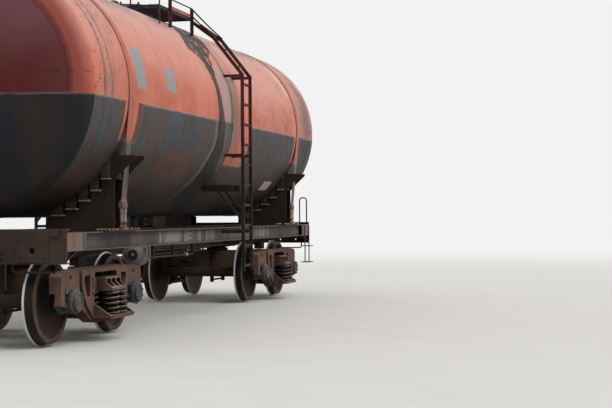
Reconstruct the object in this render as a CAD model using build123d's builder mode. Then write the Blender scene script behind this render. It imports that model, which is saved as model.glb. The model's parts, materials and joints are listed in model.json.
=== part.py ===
from build123d import *
from math import acos, atan2, cos, degrees, radians, sin, sqrt
import os

os.makedirs("parts", exist_ok=True)

# Driving dimensions, in millimetres. X runs along the car, Y across it, Z up from the flange tips.
rail_top = 28
wheel_radius = 475
axle_height = rail_top + wheel_radius
bogie_spacing = 7800
wheelbase = 1850
journal_spacing = 2036
frame_length = 10800
coupler_spacing = 12020
coupler_height = rail_top + 1060

tank_radius = 1455
tank_height = rail_top + 2862
tank_straight = 9940
head_depth = 410
head_knuckle = 180
strap_spacing = 7840
hatch_x = -240

sill_top = rail_top + 1245
sill_bottom = rail_top + 1045
sill_outer = 1290
centre_sill_bottom = rail_top + 905
centre_sill_web = 187

end_top = rail_top + 1286
end_bottom = rail_top + 909
end_half_width = 1286
end_thickness = 14
sill_gap = 2

ladder_x = (50, 450)
ladder_y = 1620
deck_x = (-1350, 0)
deck_y = (450, 860)
deck_top = rail_top + 4300


def crosswise(x, z=0):
    """Sketch plane across the car: its own x is the car's Y, its own y is up."""
    return Plane(origin=(x, 0, z), x_dir=(0, 1, 0), z_dir=(1, 0, 0))


def lengthwise(y, x=0):
    """Sketch plane along the car that faces -Y: its own x is the car's X, its own y is up."""
    return Plane(origin=(x, y, 0), x_dir=(1, 0, 0), z_dir=(0, -1, 0))


def dome_point(radius, rise, share):
    """Point of a shallow dome: its distance from the axis at a share of its radius, and its height there."""
    crown = (radius**2 + rise**2) / (2 * rise)
    return (radius * share, rise - crown + sqrt(crown**2 - (radius * share) ** 2))


def rounded_outline(corners):
    """Closed outline through a table of corners. Columns: across, up, corner radius."""
    points = [(across, up) for across, up, _ in corners]
    return FilletPolyline(*points, radius=[radius for _, _, radius in corners], close=True)


def save(part, name):
    """Labels a finished piece and writes its STEP file."""
    part.label = name
    export_step(part, f"parts/{name}.step")


# Tank: a straight shell with two dished heads, each a shallow crown turning into a tighter knuckle.
head_rise = tank_radius - head_knuckle
crown_radius = (head_depth**2 + head_rise**2 - head_knuckle**2) / (2 * (head_depth - head_knuckle))
crown_centre = tank_straight / 2 + head_depth - crown_radius
crown_angle = atan2(head_rise, tank_straight / 2 - crown_centre)
knuckle_angle = (crown_angle + radians(90)) / 2
tank_end = tank_straight / 2 + head_depth
sump_radius = 160
sump_bottom = tank_height - tank_radius - 12
sump_height = 100

with BuildPart() as tank:
    with BuildSketch(Plane(origin=(0, 0, tank_height), x_dir=(1, 0, 0), z_dir=(0, -1, 0))):
        with BuildLine():
            crown = ThreePointArc(
                (tank_end, 0),
                (
                    crown_centre + crown_radius * cos(crown_angle / 2),
                    crown_radius * sin(crown_angle / 2),
                ),
                (
                    crown_centre + crown_radius * cos(crown_angle),
                    crown_radius * sin(crown_angle),
                ),
            )
            knuckle = ThreePointArc(
                crown @ 1,
                (
                    tank_straight / 2 + head_knuckle * cos(knuckle_angle),
                    head_rise + head_knuckle * sin(knuckle_angle),
                ),
                (tank_straight / 2, tank_radius),
            )
            Line(knuckle @ 1, (0, tank_radius))
            Line((0, tank_radius), (0, 0))
            Line((0, 0), crown @ 0)
        make_face()
    revolve(axis=Axis((0, 0, tank_height), (1, 0, 0)))
    mirror(about=Plane.YZ)
    with Locations((hatch_x, 0, sump_bottom)):
        Cylinder(sump_radius, sump_height, align=(Align.CENTER, Align.CENTER, Align.MIN))
save(tank.part, "tank")

# Filling hatch: a short neck with a flange, its two hinge ears and the pin between them.
neck_outer = 305
neck_bore = 285
neck_flange = 350
neck_top = tank_height + tank_radius + 110
flange_thickness = 18
hinge_x = hatch_x + 400
hinge_z = neck_top + 22
ear_places = (-75, 75)
ear_thickness = 16
ear_radius = 22
ear_drop = 60
neck_root = tank_height + tank_radius - 80
pin_radius = 12
pin_length = 180
pin_gap = 0.08

with BuildPart() as hatch_neck:
    with BuildSketch(Plane.XY.offset(neck_root)):
        with Locations((hatch_x, 0)):
            Circle(neck_outer)
    extrude(amount=neck_top - neck_root)
    with BuildSketch(Plane.XY.offset(neck_top - flange_thickness)):
        with Locations((hatch_x, 0)):
            Circle(neck_flange)
    extrude(amount=flange_thickness)
    with BuildSketch(Plane.XY.offset(neck_root)):
        with Locations((hatch_x, 0)):
            Circle(neck_bore)
    extrude(amount=neck_top, mode=Mode.SUBTRACT)
    for y in ear_places:
        with BuildSketch(lengthwise(y + ear_thickness / 2)):
            with BuildLine():
                Polyline(
                    (hatch_x + neck_outer - 4, neck_top - ear_drop),
                    (hinge_x + ear_radius, neck_top - ear_radius / 2),
                    (hinge_x + ear_radius, hinge_z),
                    (hinge_x - ear_radius, hinge_z),
                    (hinge_x - ear_radius, neck_top - flange_thickness),
                    (hatch_x + neck_outer - 4, neck_top - flange_thickness),
                    close=True,
                )
            make_face()
            with Locations((hinge_x, hinge_z)):
                Circle(ear_radius)
        extrude(amount=ear_thickness)
    with BuildSketch(lengthwise(pin_length / 2)):
        with Locations((hinge_x, hinge_z)):
            Circle(pin_radius)
    extrude(amount=pin_length)
    with BuildSketch(Plane.YZ.offset(hatch_x - neck_flange)):
        with Locations((0, tank_height)):
            Circle(tank_radius)
    extrude(amount=2 * neck_flange, mode=Mode.SUBTRACT)
save(hatch_neck.part, "hatch_neck")

# Hatch lid: a shallow dome with a rim, and the arm that reaches back to the hinge pin.
lid_gap = 0.3
lid_rim = 24
lid_rise = 62
arm_half_width = 40
arm_eye = 24
arm_start = 60
arm_foot = 200
lid_clearance = lid_gap + 2

with BuildPart() as hatch_lid:
    with BuildSketch(Plane(origin=(hatch_x, 0, neck_top + lid_gap), x_dir=(1, 0, 0), z_dir=(0, -1, 0))):
        with BuildLine():
            Line((0, 0), (neck_flange, 0))
            Line((neck_flange, 0), (neck_flange, lid_rim))
            Line((neck_flange, lid_rim), (neck_bore, lid_rim))
            dome_x, dome_z = dome_point(neck_bore, lid_rise - lid_rim, 0.5)
            ThreePointArc((neck_bore, lid_rim), (dome_x, lid_rim + dome_z), (0, lid_rise))
            Line((0, lid_rise), (0, 0))
        make_face()
    revolve(axis=Axis((hatch_x, 0, 0), (0, 0, 1)))
    with BuildSketch(lengthwise(arm_half_width)):
        with BuildLine():
            Polyline(
                (hatch_x - arm_start, neck_top + lid_rise - arm_eye),
                (hinge_x, hinge_z + 20),
                (hinge_x, hinge_z - 20),
                (hinge_x - 40, neck_top + lid_clearance),
                (hatch_x + arm_foot, neck_top + lid_clearance),
                close=True,
            )
        make_face()
        with Locations((hinge_x, hinge_z)):
            Circle(arm_eye)
    extrude(amount=2 * arm_half_width)
    with BuildSketch(lengthwise(arm_half_width)):
        with Locations((hinge_x, hinge_z)):
            Circle(pin_radius + pin_gap)
    extrude(amount=2 * arm_half_width, mode=Mode.SUBTRACT)
save(hatch_lid.part, "hatch_lid")

# Relief valves: squat bodies on the tank's top line, each side of the hatch.
valve_places = (hatch_x - 620, hatch_x + 700)
valve_margin = 200
# Columns: height above the tank's top, radius.
valve_steps = ((-6, 95), (14, 95), (14, 62), (95, 62), (95, 80), (120, 80), (140, 40))

with BuildPart() as relief_valves:
    for x in valve_places:
        with BuildSketch(lengthwise(0, x)):
            with BuildLine():
                valve_edge = [(radius, tank_height + tank_radius + height) for height, radius in valve_steps]
                Polyline(
                    (0, valve_edge[0][1]),
                    *valve_edge,
                    (0, valve_edge[-1][1]),
                    close=True,
                )
            make_face()
        revolve(axis=Axis((x, 0, 0), (0, 0, 1)))
    with BuildSketch(Plane.YZ.offset(valve_places[0] - valve_margin)):
        with Locations((0, tank_height)):
            Circle(tank_radius)
    extrude(amount=valve_places[1] - valve_places[0] + 2 * valve_margin, mode=Mode.SUBTRACT)
save(relief_valves.part, "relief_valves")

# Straps: a band over the tank that leaves it on a tangent each side and runs to an end block;
# two tie rods hold each block down to a base plate on the side sill.
strap_width = 145
strap_thickness = 10
strap_inner = tank_radius + 0.3
block_y = 1342
block_z = rail_top + 1570
block_distance = sqrt(block_y**2 + (tank_height - block_z) ** 2)
block_angle = degrees(atan2(block_z - tank_height, block_y))
leave_angle = block_angle + degrees(acos(strap_inner / block_distance))
base_plate = (1000, 190, 16)
base_plate_y = 1275
rod_radius = 16
rod_places = (-48, 48)
end_block = (strap_width + 20, 46, 60)
rod_anchor = (strap_width + 40, 60, 24)
rod_y = block_y + 2


def strap_point(radius, angle):
    """Point of the strap in its crosswise plane, from the tank's middle."""
    return (radius * cos(radians(angle)), tank_height + radius * sin(radians(angle)))


with BuildPart() as tank_straps:
    for x in (-strap_spacing / 2, strap_spacing / 2):
        outward = (cos(radians(leave_angle)) * strap_thickness, sin(radians(leave_angle)) * strap_thickness)
        with BuildSketch(crosswise(x - strap_width / 2)):
            with BuildLine():
                inner = ThreePointArc(
                    strap_point(strap_inner, leave_angle),
                    strap_point(strap_inner, 90),
                    strap_point(strap_inner, 180 - leave_angle),
                )
                outer = ThreePointArc(
                    strap_point(strap_inner + strap_thickness, leave_angle),
                    strap_point(strap_inner + strap_thickness, 90),
                    strap_point(strap_inner + strap_thickness, 180 - leave_angle),
                )
                Polyline(
                    inner @ 0,
                    (block_y, block_z),
                    (block_y + outward[0], block_z + outward[1]),
                    outer @ 0,
                )
                Polyline(
                    inner @ 1,
                    (-block_y, block_z),
                    (-block_y - outward[0], block_z + outward[1]),
                    outer @ 1,
                )
            make_face()
        extrude(amount=strap_width)
        for side in (-1, 1):
            with Locations((x, side * rod_y, block_z - end_block[2] / 3)):
                Box(*end_block)
            with Locations((x, side * rod_y, sill_top + base_plate[2] + rod_anchor[2] / 2)):
                Box(*rod_anchor)
            for shift in rod_places:
                with BuildSketch(Plane.XY.offset(sill_top + base_plate[2])):
                    with Locations((x + shift, side * rod_y)):
                        Circle(rod_radius)
                extrude(amount=block_z - sill_top)
save(tank_straps.part, "tank_straps")

# Saddles: two webs across each bolster under a staircase of treads, and plates that guide the strap.
# Angles below the horizontal, on the tank, where one step ends and the next begins.
step_angles = (33, 41, 48.5, 56, 63.5, 71)
step_lip = 30
timber_least = 45
tread_thickness = 16
saddle_width = 300
web_thickness = 12
web_foot = 1290
web_inner = 430
foot_plate_inner = 510
guide_inner = 1262
guide_outer = 1548
guide_top = rail_top + 2122
guide_edge = 32
step_y = [tank_radius * cos(radians(angle)) + step_lip for angle in step_angles]
tread_z = [tank_height - tank_radius * sin(radians(angle)) - timber_least for angle in step_angles[1:]]
saddle_foot = sill_top + base_plate[2]


def staircase(shift):
    """Corners of the stepped line under the tank, with treads lowered and risers moved outward by a shift."""
    corners = [(step_y[0], tread_z[0] - shift)]
    for y, above, below in zip(step_y[1:], tread_z, tread_z[1:]):
        corners += [(y + shift, above - shift), (y + shift, below - shift)]
    return corners + [(step_y[-1], tread_z[-1] - shift)]


stairs_top = staircase(0)
stairs_under = staircase(tread_thickness)

with BuildPart() as saddle_plates:
    for x in (-bogie_spacing / 2, bogie_spacing / 2):
        for side in (-1, 1):
            with BuildSketch(crosswise(x - saddle_width / 2)):
                with BuildLine():
                    Polyline(*[(side * y, z) for y, z in stairs_top + stairs_under[::-1]], close=True)
                make_face()
            extrude(amount=saddle_width)
            for web_x in (x - saddle_width / 2, x + saddle_width / 2 - web_thickness):
                with BuildSketch(crosswise(web_x)):
                    with BuildLine():
                        web_edge = [
                            (web_foot, stairs_under[0][1]),
                            *stairs_under[1:],
                            (web_inner, stairs_under[-1][1] - step_lip),
                            (web_inner, saddle_foot),
                            (web_foot, saddle_foot),
                        ]
                        Polyline(*[(side * y, z) for y, z in web_edge], close=True)
                    make_face()
                    with BuildLine():
                        guide = [
                            (guide_inner, stairs_under[0][1]),
                            (web_foot, stairs_under[0][1]),
                            (guide_outer, guide_top - guide_edge),
                            (guide_outer, guide_top),
                            (guide_inner, guide_top),
                        ]
                        Polyline(*[(side * y, z) for y, z in guide], close=True)
                    make_face()
                extrude(amount=web_thickness)
            foot_span = web_foot - foot_plate_inner
            with Locations((x, side * (foot_plate_inner + foot_span / 2), sill_top)):
                Box(saddle_width, foot_span, base_plate[2], align=(Align.CENTER, Align.CENTER, Align.MIN))
            with Locations((x, side * base_plate_y, sill_top)):
                Box(*base_plate, align=(Align.CENTER, Align.CENTER, Align.MIN))
save(saddle_plates.part, "saddle_plates")

# Timbers: a block of beech between each tread and the tank.
timber_width = 340
timber_gap = 0.2

with BuildPart() as saddle_timbers:
    for x in (-bogie_spacing / 2, bogie_spacing / 2):
        for side in (-1, 1):
            for outer, inner, floor in zip(step_y, step_y[1:], tread_z):
                arc_radius = tank_radius + timber_gap
                arc_ends = (outer - step_lip, inner + timber_gap)
                arc_y = (arc_ends[0], sum(arc_ends) / 2, arc_ends[1])
                with BuildSketch(crosswise(x - timber_width / 2)):
                    with BuildLine():
                        arc_points = [(side * y, tank_height - sqrt(arc_radius**2 - y**2)) for y in arc_y]
                        against_tank = ThreePointArc(*arc_points)
                        Polyline(
                            against_tank @ 1,
                            (side * arc_y[2], floor),
                            (side * arc_y[0], floor),
                            against_tank @ 0,
                        )
                    make_face()
                extrude(amount=timber_width)
save(saddle_timbers.part, "saddle_timbers")

# Centre sill: two webs under a cover plate, with outward flanges except at the bolsters.
sill_end = frame_length / 2 - end_thickness
centre_web_thickness = 12
centre_flange = 90
cover_thickness = 12
centre_flange_thickness = 14
flange_lap = 1
bolster_half_width = 170
drain_hole_radius = 150

with BuildPart() as centre_sill:
    for side in (-1, 1):
        with BuildSketch(crosswise(-sill_end)):
            with Locations((side * (centre_sill_web - centre_web_thickness / 2), centre_sill_bottom)):
                Rectangle(
                    centre_web_thickness,
                    sill_top - centre_sill_bottom,
                    align=(Align.CENTER, Align.MIN),
                )
        extrude(amount=2 * sill_end)
        # Columns: middle of a flange run along the car, its length.
        outer_run = sill_end - bogie_spacing / 2 - bolster_half_width
        flange_runs = (
            (0, bogie_spacing - 2 * bolster_half_width),
            (-sill_end + outer_run / 2, outer_run),
            (sill_end - outer_run / 2, outer_run),
        )
        for middle, length in flange_runs:
            flange_y = side * (centre_sill_web + centre_flange / 2 - flange_lap)
            with Locations((middle, flange_y, centre_sill_bottom)):
                flange_size = (length, centre_flange + 2 * flange_lap, centre_flange_thickness)
                Box(*flange_size, align=(Align.CENTER, Align.CENTER, Align.MIN))
    with BuildSketch(Plane.XY.offset(sill_top - cover_thickness)):
        Rectangle(2 * sill_end, 2 * centre_sill_web)
        with Locations((hatch_x, 0)):
            Circle(drain_hole_radius, mode=Mode.SUBTRACT)
    extrude(amount=cover_thickness)
save(centre_sill.part, "centre_sill")

# Side sills: channels with their flanges outward, boxed in at both ends.
sill_web = 9
sill_flange = 76
sill_flange_thickness = 11
boxed_length = 520
boxed_thickness = 8

with BuildPart() as side_sills:
    for side in (-1, 1):
        with BuildSketch(crosswise(-sill_end)):
            sill_middle = (sill_top + sill_bottom) / 2
            with Locations((side * (sill_outer - sill_flange + sill_web / 2), sill_middle)):
                Rectangle(sill_web, sill_top - sill_bottom)
            for z, direction in ((sill_top, Align.MAX), (sill_bottom, Align.MIN)):
                with Locations((side * (sill_outer - sill_flange / 2), z)):
                    Rectangle(sill_flange, sill_flange_thickness, align=(Align.CENTER, direction))
        extrude(amount=2 * sill_end)
        for end in (-1, 1):
            with Locations((end * (sill_end - boxed_length / 2), side * (sill_outer - 6), sill_middle)):
                Box(boxed_length, boxed_thickness, sill_top - sill_bottom - sill_flange_thickness)
save(side_sills.part, "side_sills")

# End beams: a flanged plate with a striker round the coupler's opening and four-hole buffer pads.
flange_depth = 96
opening = (330, 250)
striker = (470, 380)
striker_depth = 70
striker_corner = 40
opening_corner = 30
pad_corner = 12
pad_y = 888
pad_z = rail_top + 1055
pad_size = (370, 250)
pad_thickness = 12
pad_bolts = (290, 170)
pad_bolt_radius = 13
pad_bore_radius = 38
gusset_y = 1240
gusset_thickness = 10
gusset_reach = 290
gusset_flange = (70, 12)
lamp_block = (30, 84, 75)
lamp_place = (1160, rail_top + 1245)

for name, end in (("end_beam_front", -1), ("end_beam_rear", 1)):
    face = frame_length / 2
    with BuildPart() as end_beam:
        with BuildSketch(crosswise(end * face)):
            with Locations((0, (end_top + end_bottom) / 2)):
                Rectangle(2 * end_half_width, end_top - end_bottom)
        extrude(amount=-end * end_thickness)
        for z, place in ((end_top, Align.MAX), (end_bottom, Align.MIN)):
            with Locations((end * (face - flange_depth / 2), 0, z)):
                flange_span = 2 * end_half_width
                Box(flange_depth, flange_span, end_thickness, align=(Align.CENTER, Align.CENTER, place))
        with BuildSketch(crosswise(end * face)):
            with Locations((0, coupler_height)):
                RectangleRounded(striker[0], striker[1], striker_corner)
        extrude(amount=end * striker_depth)
        with BuildSketch(crosswise(end * face)):
            with Locations((-pad_y, pad_z), (pad_y, pad_z)):
                RectangleRounded(pad_size[0], pad_size[1], pad_corner)
        extrude(amount=end * pad_thickness)
        with BuildSketch(crosswise(end * (face + striker_depth))):
            with Locations((0, coupler_height)):
                RectangleRounded(opening[0], opening[1], opening_corner)
        extrude(amount=-end * (striker_depth + end_thickness), mode=Mode.SUBTRACT)
        with BuildSketch(crosswise(end * (face + pad_thickness))):
            for y in (-pad_y, pad_y):
                with Locations((y, pad_z)):
                    Circle(pad_bore_radius)
                    with GridLocations(pad_bolts[0], pad_bolts[1], 2, 2):
                        Circle(pad_bolt_radius)
        extrude(amount=-end * (pad_thickness + end_thickness), mode=Mode.SUBTRACT)
        back = face - end_thickness
        flange_top = end_bottom + end_thickness
        for side in (-1, 1):
            with BuildSketch(lengthwise(side * gusset_y + gusset_thickness / 2)):
                with BuildLine():
                    Polyline(
                        (end * back, flange_top),
                        (end * back, sill_bottom),
                        (end * (back - gusset_reach), sill_bottom),
                        close=True,
                    )
                make_face()
            extrude(amount=gusset_thickness)
            with BuildSketch(lengthwise(side * gusset_y + gusset_flange[0] / 2)):
                with BuildLine():
                    Polyline(
                        (end * back, flange_top),
                        (end * back, flange_top + gusset_flange[1]),
                        (end * (back - gusset_reach + 2 * gusset_flange[1]), sill_bottom),
                        (end * (back - gusset_reach), sill_bottom),
                        close=True,
                    )
                make_face()
            extrude(amount=gusset_flange[0])
        with Locations((end * (face + lamp_block[0] / 2), end * lamp_place[0], lamp_place[1])):
            Box(*lamp_block)
        # The centre sill ends at the plate, so the flanges are cut back round it.
        with Locations((end * (back - flange_depth), 0, centre_sill_bottom)):
            Box(
                2 * flange_depth,
                2 * (centre_sill_web + centre_flange + sill_gap),
                sill_top - centre_sill_bottom,
                align=(Align.CENTER, Align.CENTER, Align.MIN),
                mode=Mode.SUBTRACT,
            )
    save(end_beam.part, name)

# Body bolsters: a wing each side of the centre sill, the centre plate and the side-bearing pads.
plate_bottom = 858.3
plate_radius = 150
wing_end = sill_outer - sill_flange
bearing_y = 762
bearing_bottom = 868
bearing_pad = (220, 120, 160)
wing_step = 620
plate_seat = (2 * bolster_half_width, 2 * centre_sill_web + 200, 20)

with BuildPart() as body_bolsters:
    for x in (-bogie_spacing / 2, bogie_spacing / 2):
        for side in (-1, 1):
            with BuildSketch(crosswise(x - bolster_half_width)):
                with BuildLine():
                    Polyline(
                        (side * centre_sill_web, centre_sill_bottom),
                        (side * wing_step, centre_sill_bottom),
                        (side * wing_end, sill_bottom),
                        (side * wing_end, sill_top),
                        (side * centre_sill_web, sill_top),
                        close=True,
                    )
                make_face()
            extrude(amount=2 * bolster_half_width)
            with Locations((x, side * bearing_y, bearing_bottom)):
                Box(*bearing_pad, align=(Align.CENTER, Align.CENTER, Align.MIN))
        with Locations((x, 0, centre_sill_bottom)):
            Box(*plate_seat, align=(Align.CENTER, Align.CENTER, Align.MAX))
        with BuildSketch(Plane.XY.offset(plate_bottom)):
            with Locations((x, 0)):
                Circle(plate_radius)
        extrude(amount=centre_sill_bottom - plate_bottom)
save(body_bolsters.part, "body_bolsters")

# Cross beams between the sills, and the feet that anchor the tank's middle to the centre sill.
cross_places = (-1150, 620)
foot_places = (-950, 470)
foot_plate = (520, 18, 260)
foot_flange = (520, 110, 16)
foot_y = centre_sill_web - 20
cross_beam = (90, wing_end - centre_sill_web, 170)

with BuildPart() as cross_beams:
    for x in cross_places:
        for side in (-1, 1):
            with Locations((x, side * (centre_sill_web + cross_beam[1] / 2), sill_top)):
                Box(*cross_beam, align=(Align.CENTER, Align.CENTER, Align.MAX))
save(cross_beams.part, "cross_beams")

with BuildPart() as tank_feet:
    for x in foot_places:
        for side in (-1, 1):
            with Locations((x, side * foot_y, sill_top)):
                Box(*foot_plate, align=(Align.CENTER, Align.CENTER, Align.MIN))
            with Locations((x, side * foot_y, sill_top)):
                Box(*foot_flange, align=(Align.CENTER, Align.CENTER, Align.MIN))
    with BuildSketch(Plane.YZ.offset(-tank_radius)):
        with Locations((0, tank_height)):
            Circle(tank_radius)
    extrude(amount=2 * tank_radius, mode=Mode.SUBTRACT)
save(tank_feet.part, "tank_feet")

# Couplers: an automatic head with a large and a small tooth, its shank and its draft gear.
head_height = 300
coupler_face = coupler_spacing / 2
# Plan of the head for the +X end, anticlockwise. Columns: distance past the coupling line, Y, corner radius.
head_plan = (
    (-420, -80, 0),
    (-330, -120, 30),
    (-290, -215, 40),
    (-90, -225, 40),
    (18, -190, 20),
    (24, -120, 12),
    (-60, -100, 20),
    (-118, -60, 14),
    (-118, 40, 14),
    (-70, 72, 14),
    (70, 88, 14),
    (102, 120, 18),
    (96, 190, 24),
    (20, 225, 40),
    (-150, 225, 60),
    (-330, 130, 0),
    (-420, 80, 0),
)
# Upper half of the head seen from its side. Columns: distance past the coupling line, height over its axis.
head_side = ((-420, 80), (-300, 150), (20, 150), (110, 116))
lock = (80, 56, 150)
lock_place = (-105, 8)
shank = (150, 160)
draft_box = (900, 350, 250)
draft_face = frame_length / 2 - 120
shank_length = coupler_face + head_plan[0][0] - draft_face
carrier = (60, 260)

for name, end in (("coupler_front", -1), ("coupler_rear", 1)):
    with BuildPart() as coupler:
        with BuildSketch(Plane.XY.offset(coupler_height - head_height / 2)):
            with BuildLine():
                rounded_outline([(end * (coupler_face + x), end * y, radius) for x, y, radius in head_plan])
            make_face()
        extrude(amount=head_height)
        with BuildSketch(lengthwise(head_height)):
            with BuildLine():
                upper_half = [(end * (coupler_face + x), coupler_height + rise) for x, rise in head_side]
                lower = [(end * (coupler_face + x), coupler_height - rise) for x, rise in head_side[::-1]]
                Polyline(*upper_half, *lower, close=True)
            make_face()
        extrude(amount=2 * head_height, mode=Mode.INTERSECT)
        with Locations((end * (coupler_face + lock_place[0]), end * lock_place[1], coupler_height)):
            Box(lock[0], lock[1], lock[2])
        with Locations((end * (draft_face + shank_length / 2), 0, coupler_height)):
            Box(shank_length + 2, shank[0], shank[1])
        with Locations((end * (draft_face - draft_box[0] / 2), 0, coupler_height)):
            Box(draft_box[0], draft_box[1], draft_box[2])
        carrier_height = (opening[1] - shank[1]) / 2
        with Locations((end * (frame_length / 2 + striker_depth / 2), 0, coupler_height - opening[1] / 2)):
            Box(carrier[0], carrier[1], carrier_height, align=(Align.CENTER, Align.CENTER, Align.MIN))
    save(coupler.part, name)

# End rails: the shunter's bars under the end beams and the release levers beside the couplers.
bar_radius = 11
bar_z = rail_top + 820
bar_y = (640, 1152)
bar_bend = 40
bar_inset = 40
lever_z = rail_top + 990
lever_reach = 86
lever_y = (190, 620)
lever_bottom_z = rail_top + 640
lever_bend = 60
lever_bracket = (lever_reach + 16, 40, 40)
lever_bracket_y = 520

with BuildPart() as end_rails:
    for end in (-1, 1):
        x = end * (frame_length / 2 - bar_inset)
        for side in (-1, 1):
            bar_start = (x, side * bar_y[0], end_bottom)
            with BuildSketch(Plane(origin=bar_start, x_dir=(1, 0, 0), z_dir=(0, 0, -1))):
                Circle(bar_radius)
            with BuildLine():
                FilletPolyline(
                    (x, side * bar_y[0], end_bottom),
                    (x, side * bar_y[0], bar_z),
                    (x, side * bar_y[1], bar_z),
                    (x, side * bar_y[1], end_bottom),
                    radius=bar_bend,
                )
            sweep()
save(end_rails.part, "end_rails")

with BuildPart() as release_levers:
    for end in (-1, 1):
        x = end * (frame_length / 2 + lever_reach)
        side = end
        with BuildSketch(Plane(origin=(x, side * lever_y[0], lever_z), x_dir=(1, 0, 0), z_dir=(0, side, 0))):
            Circle(bar_radius)
        with BuildLine():
            FilletPolyline(
                (x, side * lever_y[0], lever_z),
                (x, side * lever_y[1], lever_z),
                (x, side * lever_y[1], lever_bottom_z),
                radius=lever_bend,
            )
        sweep()
        with Locations((end * (frame_length / 2 + lever_bracket[0] / 2), side * lever_bracket_y, lever_z)):
            Box(*lever_bracket)
save(release_levers.part, "release_levers")

# Ladders: two stiles that follow the tank's side up to the deck, round rungs, and wall brackets.
stile = (50, 14)
rung_radius = 10
rung_spacing = 292
ladder_foot = rail_top + 630
first_rung = 60
slope_rungs = (0.25, 0.72)
# Columns: distance from the middle of the car, height.
stile_path = (
    (ladder_y, ladder_foot),
    (ladder_y, rail_top + 3450),
    (1190, rail_top + 4000),
    (deck_y[1] + 8, deck_top - 60),
)
bracket_heights = (rail_top + 2290, rail_top + 3440)
bracket_depth = 40
# Lower arm from the tank, and the strut from it to the stile.
arm_y = (1000, 1460)
arm_z = rail_top + 1814
arm_depth = 94
strut = ((1240, rail_top + 1767), (1612, rail_top + 1344))
strut_width = 34
sill_bracket = (60, 50)

for name, side in (("ladder_left", -1), ("ladder_right", 1)):
    with BuildPart() as ladder:
        for x in ladder_x:
            with BuildSketch(crosswise(x - stile[1] / 2)):
                with BuildLine():
                    Polyline(*[(side * y, z) for y, z in stile_path])
                    offset(amount=stile[0] / 2, side=Side.BOTH, kind=Kind.INTERSECTION)
                make_face()
            extrude(amount=stile[1])
        rung_count = int((stile_path[1][1] - ladder_foot - first_rung) // rung_spacing) + 1
        rungs = [(ladder_y, ladder_foot + first_rung + step * rung_spacing) for step in range(rung_count)]
        for (y0, z0), (y1, z1) in zip(stile_path[1:], stile_path[2:]):
            rungs += [(y0 + (y1 - y0) * t, z0 + (z1 - z0) * t) for t in slope_rungs]
        for y, z in rungs:
            with BuildSketch(Plane(origin=(ladder_x[0], side * y, z), x_dir=(0, 1, 0), z_dir=(1, 0, 0))):
                Circle(rung_radius)
            extrude(amount=ladder_x[1] - ladder_x[0])
        for z in bracket_heights:
            wall = sqrt(tank_radius**2 - (z - tank_height) ** 2)
            for x in ladder_x:
                with Locations((x, side * (wall + ladder_y) / 2, z)):
                    Box(stile[1], ladder_y - wall + bracket_depth, bracket_depth)
        for x in ladder_x:
            with Locations((x, side * (sill_outer + ladder_y) / 2, sill_top - sill_bracket[0])):
                Box(stile[1], ladder_y - sill_outer, sill_bracket[1])
            with Locations((x, side * sum(arm_y) / 2, arm_z)):
                Box(stile[1], arm_y[1] - arm_y[0], arm_depth)
            with BuildSketch(crosswise(x - stile[1] / 2)):
                with BuildLine():
                    Polyline(*[(side * y, z) for y, z in strut])
                    offset(amount=strut_width / 2, side=Side.BOTH, kind=Kind.INTERSECTION)
                make_face()
            extrude(amount=stile[1])
        with BuildSketch(Plane.YZ.offset(-stile_path[1][1])):
            with Locations((0, tank_height)):
                Circle(tank_radius)
        extrude(amount=2 * stile_path[1][1], mode=Mode.SUBTRACT)
    save(ladder.part, name)

# Decks: a bar grating in an angle frame beside the hatch, on posts that carry the hand rails.
deck_depth = 50
grating_bar = 6
grating_rows = 7
grating_columns = 10
grating_depth = 24
frame_bar = 6
post = (40, 8)
post_foot = 4000
post_cap = 15
foot_tab = (60, 6)
foot_tab_bottom = 4200
rail_low = rail_top + 4430
rail_high = rail_top + 4600
hand_rail_radius = 9
post_x = (deck_x[0] + 15, -950, deck_x[1] - 15)

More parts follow.
